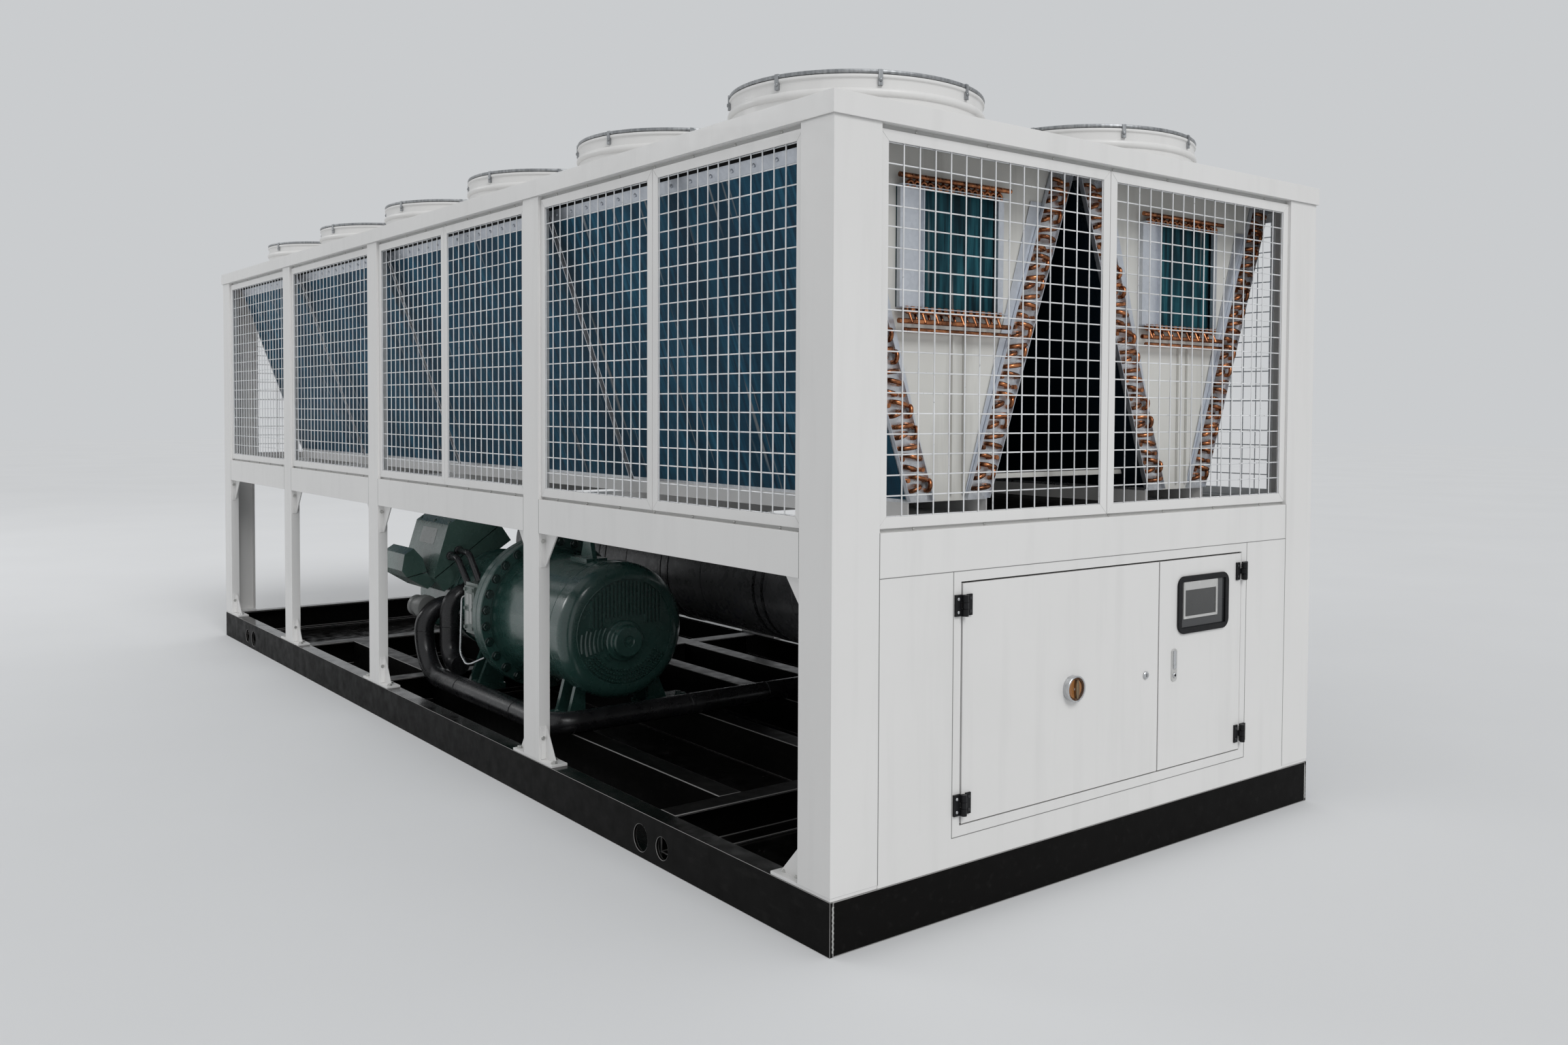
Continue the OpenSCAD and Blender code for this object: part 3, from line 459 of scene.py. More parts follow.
def rounded_path(points, radii, steps=8):
    """The points joined by straight runs, with a round bend of its radius at each corner."""
    points = [Vector(p) for p in points]
    path = [points[0]]
    for before, corner, after, radius in zip(points, points[1:], points[2:], radii):
        a = (before - corner).normalized()
        b = (after - corner).normalized()
        half = 0.5 * a.angle(b)
        reach = radius / math.tan(half)
        start = corner + a * reach
        end = corner + b * reach
        centre = corner + (a + b).normalized() * (radius / math.sin(half))
        way = (start - centre).normalized()
        sweep = way.angle(end - centre)
        across = way.cross(end - centre).cross(way).normalized()
        for k in range(steps + 1):
            c, s = turned(sweep * k / steps)
            path.append(centre + radius * (c * way + s * across))
    path.append(points[-1])
    return path


class Build:
    """Collects the points and faces of one piece, in metres in the part's frame."""

    def __init__(self):
        self.points = []
        self.faces = []
        self.paints = []

    def add(self, points, faces, paint=0):
        first = len(self.points)
        self.points.extend(tuple(p) for p in points)
        self.faces.extend(tuple(first + i for i in face) for face in faces)
        self.paints.extend([paint] * len(faces))

    def box(self, a, b, paint=0, turn=None):
        """Box between two opposite corners, in any order."""
        xs, ys, zs = (sorted(pair) for pair in zip(a, b))
        points = [Vector((x, y, z)) for z in zs for y in ys for x in xs]
        if turn:
            points = [turn @ p for p in points]
        faces = [(0, 2, 3, 1), (4, 5, 7, 6), (0, 1, 5, 4), (2, 6, 7, 3), (0, 4, 6, 2), (1, 3, 7, 5)]
        self.add(points, faces, paint)

    def prism(self, outline, place, depth, paint=0):
        """Outline of (u, v) pairs in the plane of the matrix place, carried by depth along its Z."""
        n = len(outline)
        points = [place @ Vector((u, v, d)) for d in (0.0, depth) for u, v in outline]
        faces = [tuple(reversed(range(n))), tuple(range(n, 2 * n))]
        faces += [(i, (i + 1) % n, n + (i + 1) % n, n + i) for i in range(n)]
        self.add(points, faces, paint)

    def mitred(self, lo, hi, bar, top, place, depth):
        """Four mitred bars inside a rectangle, the top one of its own width: gives the opening."""
        (u0, v0), (u1, v1) = lo, hi
        outer = [(u0, v0), (u1, v0), (u1, v1), (u0, v1)]
        inner = [(u0 + bar, v0 + bar), (u1 - bar, v0 + bar), (u1 - bar, v1 - top), (u0 + bar, v1 - top)]
        for k in range(4):
            n = (k + 1) % 4
            self.prism([outer[k], outer[n], inner[n], inner[k]], place, depth)
        return inner

    def skin(self, points, rows, n, paint, closed):
        """Faces between rows of n points, with caps unless the last row joins the first."""
        faces = []
        for i in range(rows if closed else rows - 1):
            a = i * n
            b = ((i + 1) % rows) * n
            faces += [(a + k, a + (k + 1) % n, b + (k + 1) % n, b + k) for k in range(n)]
        if not closed:
            faces.append(tuple(reversed(range(n))))
            faces.append(tuple((rows - 1) * n + k for k in range(n)))
        self.add(points, faces, paint)

    def lathe(self, profile, at, axis, n, paint=0, closed=False):
        """Profile of (radius, height) pairs turned round the axis through at."""
        turn = axis_frame(at, axis)
        steps = [2.0 * math.pi * k / n for k in range(n)]
        points = [turn @ Vector((*turned(a, r), h)) for r, h in profile for a in steps]
        self.skin(points, len(profile), n, paint, closed)

    def rod(self, a, b, r, n=8):
        way = Vector(b) - Vector(a)
        self.lathe([(r, 0.0), (r, way.length)], a, way, n)

    def tube(self, path, r, n):
        """Round tube of radius r along the points of path."""
        path = [Vector(p) for p in path]
        last = len(path) - 1
        side = None
        points = []
        for i, p in enumerate(path):
            ahead = (path[min(i + 1, last)] - path[max(i - 1, 0)]).normalized()
            if side is None:
                side = ahead.orthogonal().normalized()
            side = (side - ahead * side.dot(ahead)).normalized()
            up = ahead.cross(side)
            for k in range(n):
                c, s = turned(2.0 * math.pi * k / n)
                points.append(p + r * (c * side + s * up))
        self.skin(points, last + 1, n, 0, False)

    def ring(self, at, axis, big, small, n, m):
        self.lathe(arc(big, 0.0, small, 0, 360, m)[:-1], at, axis, n, closed=True)

    def bolt(self, at, axis, r, paint=0):
        """Hexagon head with a washer under it."""
        self.lathe([(1.25 * r, 0.0), (1.25 * r, 0.16 * r), (1.18 * r, 0.22 * r)], at, axis, 14, paint)
        head = [(r, 0.2 * r), (r, 0.78 * r), (0.86 * r, 0.9 * r), (0.5 * r, 0.9 * r)]
        self.lathe(head, at, axis, 6, paint)

    def bolt_ring(self, at, way, radius, count, r, paint=0):
        """Bolts on a circle about a point, with their heads along X or against it."""
        x, y, z = at
        for k in range(count):
            dy, dz = turned(2 * math.pi * (k + 0.5) / count, radius)
            self.bolt((x, y + dy, z + dz), (way, 0, 0), r, paint)

    def screw(self, at, axis, r):
        """Low round head."""
        self.lathe([(r, 0.0), (r, 0.25 * r), (0.8 * r, 0.5 * r), (0.35 * r, 0.6 * r)], at, axis, 10)

    def done(self, name, paints, body="frame", replaces=(), edge=0.0, sharp=SHARP):
        """Makes the piece, rounds its edges if asked, and sets it on its body."""
        mesh = bpy.data.meshes.new(name)
        mesh.from_pydata(self.points, [], self.faces)
        mesh.polygons.foreach_set("material_index", self.paints)
        work = bmesh.new()
        work.from_mesh(mesh)
        bmesh.ops.recalc_face_normals(work, faces=work.faces)
        if edge:
            round_edges(work, edge, sharp)
        settle(name, work, mesh, paints, body, replaces, sharp)


def round_edges(work, width, sharp, paint=-1):
    """Rounds every edge that turns by more than sharp degrees, in its own paint if asked."""
    limit = math.radians(sharp)
    edges = [e for e in work.edges if len(e.link_faces) == 2 and e.calc_face_angle() > limit]
    bmesh.ops.bevel(work, geom=edges, offset=width, offset_type="OFFSET", segments=2, profile=0.5,
                    affect="EDGES", clamp_overlap=True, material=paint)


def settle(name, work, mesh, paints, body, replaces, sharp):
    """Writes the worked mesh, gives it its materials and sets the piece on its body."""
    work.to_mesh(mesh)
    work.free()
    mesh.polygons.foreach_set("use_smooth", [True] * len(mesh.polygons))
    mesh.set_sharp_from_angle(angle=math.radians(sharp))
    for paint in paints:
        mesh.materials.append(paint)
    piece = bpy.data.objects.new(name, mesh)
    bpy.context.scene.collection.objects.link(piece)
    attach(piece, body)
    if replaces:
        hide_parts(*replaces)
    weighted = piece.modifiers.new("weighted_normals", "WEIGHTED_NORMAL")
    weighted.keep_sharp = True


def faces_up(face):
    return face.normal.z > 0.97


def hinge_leaf(face):
    return face.calc_center_median().x > DOOR_X + 0.0005


def dress(node, paint, width, body="frame", rim=None, other=None, pick=None):
    """A copy of a CAD node with rounded edges, shown in its place: picked faces get the other paint."""
    mesh = bpy.data.meshes.new(node + "_dressed")
    work = bmesh.new()
    work.from_mesh(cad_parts[node].data)
    bmesh.ops.remove_doubles(work, verts=work.verts, dist=0.00002)
    bmesh.ops.dissolve_limit(work, angle_limit=math.radians(0.5), verts=work.verts, edges=work.edges)
    round_edges(work, width, SHARP, 1 if rim else -1)
    paints = [p for p in (paint, rim, other) if p]
    if other:
        for face in work.faces:
            if pick(face):
                face.material_index = len(paints) - 1
    settle(node + "_dressed", work, mesh, paints, body, [node], SHARP)


def dress_frame():
    """The folded sheet frame, base channels, roof and cabinet with softened edges."""
    # Base channels: their rounded edges take the lighter grey as painted edge highlight.
    for node in ("base_rail_front", "base_rail_back", "base_rail_control_end", "base_rail_far_end"):
        dress(node, BLACK, 0.003, rim=EDGE_HIGHLIGHT_GREY, other=RAIL_TOP, pick=faces_up)
    for node in ("base_cross_members", "machinery_rails"):
        dress(node, BLACK, 0.003, rim=EDGE_HIGHLIGHT_GREY, other=BLACK_TOP, pick=faces_up)
    for node in ("corner_posts", "side_posts_front", "side_posts_back", "side_beams_front",
                 "side_beams_back", "end_beams", "roof_fascia", "end_panel", "door_surround"):
        dress(node, WHITE, 0.0012)
    dress("control_cabinet", WHITE, 0.002)
    dress("coil_support_beams", WHITE, 0.0012)
    for node in ("left_door", "right_door"):
        dress(node, WHITE, 0.0014, body=node, other=HINGE, pick=hinge_leaf)
    dress("door_hinges", HINGE, 0.0014)
    dress("main_switch_plate", PLATE_STEEL, 0.0012, body="left_door")
    dress("hmi_frame", PANEL_BLACK, 0.0025, body="right_door")
    dress("evaporator_saddles", BLACK, 0.003)


def paint_nodes():
    """Materials of the CAD nodes that are shown as they are."""
    # The base pan and the inner sheets are black: painted shade under the machinery and inside the coil
    # space.
    paints = {
        "base_pan": PAN, "fan_motors": MOTOR, "coil_slabs_front": FINS, "coil_slabs_back": FINS,
        "coil_casings_front": ZINC, "coil_casings_back": ZINC, "v_end_plates": CREAM,
        "end_coils": END_FINS, "inner_sheets": BLACK, "hmi_screen": GLASS,
    }
    for name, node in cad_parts.items():
        node.data.materials.clear()
        node.data.materials.append(paints.get(name, WHITE))


def mesh_panel(frames, wires, place, w, h):
    """Framed mesh: mitred angles with a thin front leaf, and round wires welded behind it."""
    bar = MESH_BAR
    back = MESH_DEEP - MESH_LEAF
    frames.mitred((0, 0), (w, h), bar, bar, place @ Matrix.Translation((0, 0, back)), MESH_LEAF)
    frames.mitred((0, 0), (w, h), MESH_LEAF, MESH_LEAF, place, back)
    upright = back - WIRE_R
    level = upright - 2 * WIRE_R
    start = bar - WIRE_TAIL
    count = round((w - 2 * bar) / MESH_PITCH)
    for i in range(count + 1):
        u = bar + (w - 2 * bar) * i / count
        wires.rod(place @ Vector((u, start, upright)), place @ Vector((u, h - start, upright)), WIRE_R)
    count = round((h - 2 * bar) / MESH_PITCH)
    for k in range(count + 1):
        v = bar + (h - 2 * bar) * k / count
        wires.rod(place @ Vector((start, v, level)), place @ Vector((w - start, v, level)), WIRE_R)


def mesh_side(node, corners, along):
    """The mesh panels of one side, each from its lower corner and its width."""
    frames = Build()
    wires = Build()
    for corner, width in corners:
        mesh_panel(frames, wires, plane_frame(corner, along, UP), width, MESH_HI.z - MESH_LO.z)
    frames.done(node + "_frames", [WHITE], replaces=[node], edge=0.002)
    wires.done(node + "_wires", [WIRE])


def mesh_panels():
    """All mesh panels, at the same places as the CAD panels that they stand for."""
    for side, row in SIDES:
        corners = []
        for i, (x0, x1) in enumerate(BAYS):
            n = 2 if i < 2 else 1
            w = (x1 - x0) / n
            width = w - (n - 1) * MESH_GAP
            for k in range(n):
                x = x0 + k * (w + MESH_GAP)
                corner = (x if side < 0 else x + width, side * (HY - MESH_BACK), MESH_LO.z)
                corners.append((corner, width))
        mesh_side("mesh_panels_" + row, corners, (-side, 0, 0))
    for end, name in ((1, "control_end"), (-1, "far_end")):
        x = end * (HX - MESH_BACK)
        spans = ((-END_HALF, -0.021), (-0.019, END_HALF))
        corners = [((x, y0 if end > 0 else y1, END_MESH_Z), y1 - y0) for y0, y1 in spans]
        mesh_side("mesh_panels_" + name, corners, (0, end, 0))


def cowl_profile():
    """Outline of a fan cowl: foot flange, flare, wall with a bead, rolled rim and inner wall."""
    r = COWL_R
    h = COWL_H
    points = [(r - 0.005, 0.0), (r + 0.050, 0.0), (r + 0.050, 0.0035)]
    for k in range(9):
        c, s = turned(0.5 * math.pi * k / 8)
        points.append((r + 0.042 * (1.0 - s), 0.005 + 0.055 * (1.0 - c)))
    points.append((r, 0.57 * h))
    for k in range(9):
        c, s = turned(math.pi * k / 8)
        points.append((r + 0.009 * s, h * (0.66 - 0.08 * c)))
    points.append((r, h - 0.016))
    for k in range(7):
        c, s = turned(math.pi * k / 6)
        points.append((r + 0.002 + 0.004 * s, h - 0.006 - 0.006 * c))
    points += [(r - 0.003, h - 0.001), (r - 0.005, h - 0.008)]
    return points


def fans():
    """Cowls, guards and guard clips of both fan rows."""
    profile = cowl_profile()
    for side, row in SIDES:
        cowls = Build()
        guards = Build()
        clips = Build()
        for x in FAN_X:
            at = Vector((x, side * FAN_Y, CAP_Z))
            cowls.lathe(profile, at, UP, 96, closed=True)
            top = at + COWL_H * UP
            guard(guards, top)
            for k in range(8):
                a = math.pi * (k + 0.35) / 4
                turn = Matrix.Translation(top) @ Matrix.Rotation(a, 4, "Z")
                clips.box((COWL_R - 0.010, -0.007, -0.034), (COWL_R + 0.0085, 0.007, 0.0135), turn=turn)
                spot = turn @ Vector((COWL_R + 0.0085, 0, -0.018))
                clips.screw(spot, turn.to_3x3() @ Vector(ALONG), 0.006)
                foot = at + Matrix.Rotation(a + 0.3, 3, "Z") @ Vector((COWL_R + 0.043, 0, 0.0036))
                cowls.screw(foot, UP, 0.006)
        cowls.done("fan_cowls_%s_dressed" % row, [WHITE],
                   replaces=["fan_cowls_" + row])
        guards.done("fan_guards_%s_dressed" % row, [STEEL],
                    replaces=["fan_guards_" + row])
        clips.done("fan_guard_clips_" + row, [STEEL], edge=0.001)


def guard(build, top):
    """One fan guard: rim, wire rings, spokes and the plate in the middle."""
    build.ring(top + 0.007 * UP, UP, COWL_R, 0.0068, 96, 8)
    for k in range(1, 11):
        build.ring(top + 0.006 * UP, UP, 0.100 + 0.0285 * k, 0.0022, 72, 5)
    spoke = top + 0.0095 * UP
    for k in range(12):
        out = Vector((*turned(math.pi * k / 6 + 0.13), 0))
        build.rod(spoke + 0.09 * out, spoke + COWL_R * out, 0.003, 6)
    build.lathe([(0.100, 0.003), (0.100, 0.011), (0.096, 0.0125), (0.02, 0.0125)], top, UP, 48)


def rotors():
    """Fan rotors: hub with a turned edge and five twisted sickle blades each."""
    build = Build()
    hub = [(0.030, -0.036), (0.086, -0.036), (0.092, -0.030), (0.092, 0.024), (0.086, 0.030),
           (0.030, 0.030)]
    for x in FAN_X:
        for y in (-FAN_Y, FAN_Y):
            at = Vector((x, y, CAP_Z + 0.010))
            build.lathe(hub, at, UP, 40)
            for k in range(5):
                turn = Matrix.Translation(at) @ Matrix.Rotation(2 * math.pi * k / 5 + 0.17, 4, "Z")
                blade(build, turn)
    build.done("fan_rotors_dressed", [ROTOR], replaces=["fan_rotors"], sharp=50)


def blade(build, turn):
    """One blade as a closed sheet from hub to tip, swept forward and twisted."""
    rows = 9
    cols = 7
    points = []
    for level in (0.0025, -0.0025):
        for i in range(rows):
            t = i / (rows - 1)
            r = 0.085 + 0.275 * t
            pitch = math.radians(34 - 16 * t)
            chord = 0.085 + 0.085 * math.sin(math.pi * (0.25 + 0.5 * t))
            for k in range(cols):
                c = chord * (k / (cols - 1) - 0.5)
                arch = 0.012 * (1 - (2 * k / (cols - 1) - 1) ** 2)
                sweep = 0.34 * t * t + c * math.cos(pitch) / r
                z = -c * math.sin(pitch) + arch + level
                points.append(turn @ Vector((*turned(sweep, r), max(-0.045, z))))
    faces = []
    size = rows * cols
    for i in range(rows - 1):
        for k in range(cols - 1):
            a = i * cols + k
            faces.append((a, a + 1, a + cols + 1, a + cols))
            faces.append((size + a, size + a + cols, size + a + cols + 1, size + a + 1))
    rim = [k for k in range(cols)] + [i * cols + cols - 1 for i in range(1, rows)]
    rim += [size - 2 - k for k in range(cols - 1)] + [i * cols for i in range(rows - 2, 0, -1)]
    for a, b in zip(rim, rim[1:] + rim[:1]):
        faces.append((a, size + a, size + b, b))
    build.add(points, faces)


def slab_y(side, inner, z):
    """Centre of a slab across the unit at a height: side -1 or 1, inner or outer leg of the V."""
    t = (z - COIL_Z0) / (COIL_Z1 - COIL_Z0)
    spread = V_BOT + (V_TOP - V_BOT) * t
    return side * (V_Y - spread if inner else V_Y + spread)


def slab_strip(build, x, depth, slab, low, high, paint=0):
    """Strip along a leaning slab: low and high hold a height and two offsets from the slab's centre."""
    (z0, a0, b0), (z1, a1, b1) = low, high
    y0 = slab_y(*slab, z0)
    y1 = slab_y(*slab, z1)
    build.prism([(y0 + a0, z0), (y0 + b0, z0), (y1 + b1, z1), (y1 + a1, z1)], across_at(x), depth, paint)


def return_bend(build, a, b, out, r):
    """Half round bend of copper tube from a to b, standing out along out."""
    a = Vector(a)
    b = Vector(b)
    half = 0.5 * (a - b)
    stub = 0.010
    path = [a]
    for k in range(7):
        c, s = turned(math.pi * k / 6)
        path.append(0.5 * (a + b) + c * half + (stub + s * 0.65 * half.length) * Vector(out))
    path.append(b)
    build.tube(path, r, 7)


def coil_ends():
    """Return bends on the slab ends, the end coils, the trims beside them and a strip between the Vs."""
    bends = Build()
    trims = Build()
    plates = Build()
    for end in (1, -1):
        for side in (-1, 1):
            for inner in (True, False):
                hairpins(bends, end, side, inner)
                slab_trims(trims, end, side, inner)
            end_coil(bends, trims, plates, end, side)
        far = end * (COIL_X - 0.090)
        wide = slab_y(1, True, COIL_Z0 + 0.05) - 0.5 * SLAB_T - 0.0005
        plates.box((far, -wide, COIL_Z0 + 0.056), (far - end * 0.020, wide, COIL_Z0 + 0.072))
    bends.done("copper_bends", [COPPER], sharp=60)
    trims.done("coil_end_trims", [TRIM], edge=0.001)
    plates.done("end_coil_strips", [CREAM, BLACK], edge=0.001)


# Hairpin of each kind: its start and end across the slab, and up it in shares of the tube spacing
SLANTED = (-0.034, 0.0, -0.002, 0.45)
LONG = (0.034, 0.0, -0.016, 0.35)
FALLING = (-0.034, 0.3, 0.002, 0.0)
LEVEL = (-0.030, 0.0, 0.030, 0.25)
HAIRPINS = (SLANTED, LONG, LEVEL, FALLING, SLANTED, LONG, LEVEL)
STUBS = {LONG: -0.034, FALLING: 0.034}


def hairpins(bends, end, side, inner):
    """Return bends on one slab end: level and slanted hairpins in turn, some of them upright."""
    x = end * (COIL_X + 0.0005)
    out = (end, 0, 0)
    rise = (COIL_Z1 - COIL_Z0 - 0.070) / (TUBE_ROWS - 1)
    for i in range(TUBE_ROWS):
        z = COIL_Z0 + 0.035 + rise * i
        y = slab_y(side, inner, z)
        kind = HAIRPINS[(i * 5 + (2 if inner else 0)) % len(HAIRPINS)]
        y0, z0, y1, z1 = kind
        return_bend(bends, (x, y + y0, z + z0 * rise), (x, y + y1, z + z1 * rise), out, TUBE_R)
        if kind in STUBS:
            stub = y + STUBS[kind]
            bends.rod((x, stub, z), (x + end * 0.013, stub, z), TUBE_R)
        elif kind == SLANTED and i < TUBE_ROWS - 1:
            return_bend(bends, (x, y + 0.032, z), (x, y + 0.036, z + rise), out, TUBE_R)


def coil_top_channels():
    """Light folded channels along the top edge of the outer slabs, with black strips above them as painted
    shade of the gap under the top frame.
    """
    build = Build()
    z0 = COIL_Z1 - 0.078
    z1 = COIL_Z1 - 0.040
    cap = COIL_Z1 - 0.002
    for side in (-1, 1):
        slab = (side, False)
        near = side * (0.5 * SLAB_T + 0.0005)
        thick = near + side * 0.004
        thin = near + side * 0.002
        y = 0.5 * (slab_y(side, False, z0) + slab_y(side, False, z1)) + thick
        for x0, x1 in COIL_BAYS:
            slab_strip(build, x0, x1 - x0, slab, (z0, near, thick), (z1, near, thick))
            # Black strip above the channel: painted shade.
            slab_strip(build, x0, x1 - x0, slab, (z1, near, thin), (cap, near, thin), 1)
            count = round((x1 - x0) / 0.115)
            for k in range(count):
                x = x0 + (x1 - x0) * (k + 0.5) / count
                build.screw((x, y, 0.5 * (z0 + z1)), (0, side, 0), 0.007)
    build.done("coil_top_channels", [TRIM, BLACK], edge=0.0008)


def slab_trims(trims, end, side, inner):
    """Folded edge strips along both edges of a slab end, and the strip inside the V."""
    slab = (side, inner)
    z0 = COIL_Z0 + 0.004
    z1 = COIL_Z1 - 0.004
    for d0, d1 in ((-0.049, -0.046), (0.046, 0.049)):
        slab_strip(trims, end * (COIL_X - 0.030), end * 0.044, slab, (z0, d0, d1), (z1, d0, d1))
    toward = side if inner else -side
    near = toward * 0.050
    low = (z0 + 0.02, near, near + toward * 0.004)
    high = (z1 - 0.1, near, near + toward * 0.052)
    slab_strip(trims, end * (COIL_X - 0.002), end * 0.003, slab, low, high)


def end_coil(bends, trims, plates, end, side):
    """One end coil: copper bend rows and headers, wide and narrow side channel, a black strip beside the
    fins as painted shade, strips below.
    """
    y = side * V_Y
    z0 = END_COIL_LO.z
    z1 = END_COIL_HI.z
    x = end * COIL_X
    back = x + end * 0.0005
    for s, wide, out in ((-end, CHANNEL_WIDE, 0.016), (end, 0.036, 0.012)):
        edge = y + s * END_COIL_HALF
        inner = edge - s * wide
        trims.box((back, edge, z0), (x + end * out, inner, z1))
        trims.box((back, inner, z0), (x + end * (out + 0.012), inner + s * 0.004, z1))
    # Black strip between the wide channel and the fins: painted shade of the deep gap.
    gap = y - end * (END_COIL_HALF - CHANNEL_WIDE)
    plates.box((back, gap, z0), (x + end * 0.004, gap + end * 0.022, z1), 1)
    coil_row(bends, trims, end, y, z1, 1, 0.034, 1)
    coil_row(bends, trims, end, y, z0, -1, 0.048, 2)
    for dy in (0.011, 0.061):
        strip = y + end * dy
        plates.box((x - end * 0.0035, strip - 0.004, COIL_Z0 + 0.02),
                   (x + end * 0.0065, strip + 0.004, z0 - 0.070))


def coil_row(bends, trims, end, y, z, up, tall, headers):
    """Copper bends along one edge of an end coil, with feeder stubs and header tubes over them."""
    x = end * (COIL_X + 0.014)
    half = END_COIL_HALF
    for row, dx in enumerate((0.010, -0.006)):
        for k in range(15):
            start = Vector((x + end * dx, y - half + 0.020 + 0.026 * k + 0.010 * row, z - up * 0.002))
            return_bend(bends, start, start + Vector((0, 0.021, 0)), (0, 0, up), 0.0052)
            if k % 2 == row:
                bends.rod(start + Vector((0, 0.010, up * 0.020)),
                          start + Vector((end * 0.014, 0.010, up * tall)), 0.0042, 6)
    for k in range(headers):
        lift = z + up * (tall - 0.006 + 0.026 * k)
        front = x + end * 0.016
        bends.rod((front, y - half - 0.016 + 0.020 * k, lift), (front, y + half + 0.010, lift), 0.0078, 10)
    trims.box((x - end * 0.012, y - half - 0.006, z + up * 0.001),
              (x + end * 0.020, y + half + 0.006, z + up * 0.004))


def compressor_motor():
    """Motor housing, big flange with its bolts, end cover with ribs and boss, feet, lifting lug."""
    build = Build()
    r = FLANGE_R
    f = FLANGE_X
    profile = [(0.10, f + 0.0005), (r - 0.003, f + 0.0005), (r, f + 0.004), (r, f + 0.042),
               (r - 0.004, f + 0.046), (0.302, f + 0.046), (0.298, f + 0.040), (0.292, f + 0.040),
               (0.288, f + 0.046), (0.281, f + 0.058), (0.278, f + 0.080),
               (0.278, COMP_X - 0.142), (0.281, COMP_X - 0.136), (0.290, COMP_X - 0.130)]
    profile += arc(FACE_R, COMP_X - FACE_FILLET, FACE_FILLET, 0, 90, 12)
    profile += [(0.225, COMP_X), (0.221, COMP_X - 0.004), (0.03, COMP_X - 0.004)]
    build.lathe(profile, (0, COMP_Y, COMP_Z), ALONG, 112)
    build.bolt_ring((f + 0.046, COMP_Y, COMP_Z), 1, BOLT_RING_R, 28, 0.017, 1)
    cover_ribs(build)
    boss = [(0.086, 0.0), (0.086, 0.012), (0.082, 0.017), (0.070, 0.019), (0.066, 0.024), (0.066, 0.044),
            (0.061, 0.050), (0.026, 0.051), (0.022, 0.046), (0.012, 0.046), (0.010, 0.050), (0.003, 0.051)]
    build.lathe(boss, (COMP_X - 0.006, BOSS_Y, BOSS_Z), ALONG, 48)
    feet(build, COMP_X - 0.260, COMP_X - 0.090, COMP_Z - 0.190, 0.0)
    lug(build, COMP_X - 0.33)
    build.done("compressor_motor_dressed", [GREEN, BOLT_GREEN_PAINTED_SHADE],
               replaces=["compressor_motor"], sharp=32)


def cover_ribs(build):
    """Raised ribs of the end cover: upright bars above, arcs beside the boss, dots below."""
    for k in range(19):
        y = -0.162 + 0.018 * k
        reach = math.sqrt(max(0.0, RIB_REACH ** 2 - y ** 2))
        y += COMP_Y
        low = 0.066 if abs(y - BOSS_Y) < 0.096 else 0.030
        if reach > low + 0.02:
            build.box((COMP_X - 0.008, y - 0.003, COMP_Z + low),
                      (COMP_X + 0.010, y + 0.003, COMP_Z + reach))
    for radius in (0.102, 0.121, 0.140, 0.159, 0.178, 0.197):
        for first, last in ((116, 196), (214, 300)):
            path = []
            for y, z in arc(BOSS_Y, BOSS_Z, radius, first, last, 14):
                on_face = math.hypot(y - COMP_Y, z - COMP_Z) < RIB_REACH
                if on_face and COMP_Z - 0.120 < z < COMP_Z + 0.024:
                    path.append((COMP_X - 0.001, y, z))
            if len(path) > 2:
                build.tube(path, 0.0058, 6)
    dot = [(0.0052, -0.004), (0.0052, 0.006), (0.0036, 0.009)]
    for radius, count in ((0.211, 36), (0.195, 32), (0.179, 28), (0.163, 24)):
        for y, z in arc(COMP_Y, COMP_Z, radius, 212, 328, count - 1):
            if math.hypot(y - BOSS_Y, z - BOSS_Z) > 0.094:
                build.lathe(dot, (COMP_X - 0.003, y, z), ALONG, 8)
    build.ring((COMP_X - 0.0015, COMP_Y, COMP_Z), ALONG, 0.2235, 0.0038, 80, 6)
    build.ring((COMP_X - 0.128, COMP_Y, COMP_Z), ALONG, 0.2885, 0.0030, 96, 6)


def feet(build, x0, x1, top, reach):
    """Cast feet that carry the compressor on both machinery rails: sole plates with two ribs each."""
    sole = RAIL_H + 0.026
    block = RAIL_H + 0.030
    for outer, inner, way in ((-0.800 - reach, -0.690, 1), (-0.260, -0.390, -1)):
        build.box((x0, outer, RAIL_H), (x1, inner, sole))
        rib = [(outer + way * 0.030, RAIL_H + 0.020), (inner, RAIL_H + 0.020), (inner, top),
               (inner - way * 0.035, top), (outer + way * 0.040, RAIL_H + 0.050)]
        for x in (x0 + 0.020, x1 - 0.042):
            build.prism(rib, across_at(x), 0.022)
    build.box((x0, -0.270, RAIL_H), (x1, -0.155, block))
    for x in (x0 + 0.065, x1 - 0.065):
        build.bolt((x, -0.775 - 0.5 * reach, sole), UP, 0.013)
        build.bolt((x, -0.185, block), UP, 0.013)


def lug(build, x):
    """Lifting lug on top of the motor housing."""
    z = COMP_Z + 0.270
    outline = [(-0.062, 0.0), (0.062, 0.0), (0.036, 0.070)]
    for k in range(7):
        c, s = turned(math.radians(20 + 140 * k / 6))
        outline.append((0.036 * c, 0.075 + 0.034 * s))
    outline.append((-0.036, 0.070))
    build.prism(outline, plane_frame((x, COMP_Y + 0.010, z), ALONG, UP), 0.020)
    build.ring((x, COMP_Y, z + 0.074), (0, 1, 0), 0.022, 0.007, 28, 8)
    build.box((x - 0.075, COMP_Y - 0.05, z - 0.004), (x + 0.075, COMP_Y + 0.05, z + 0.016))


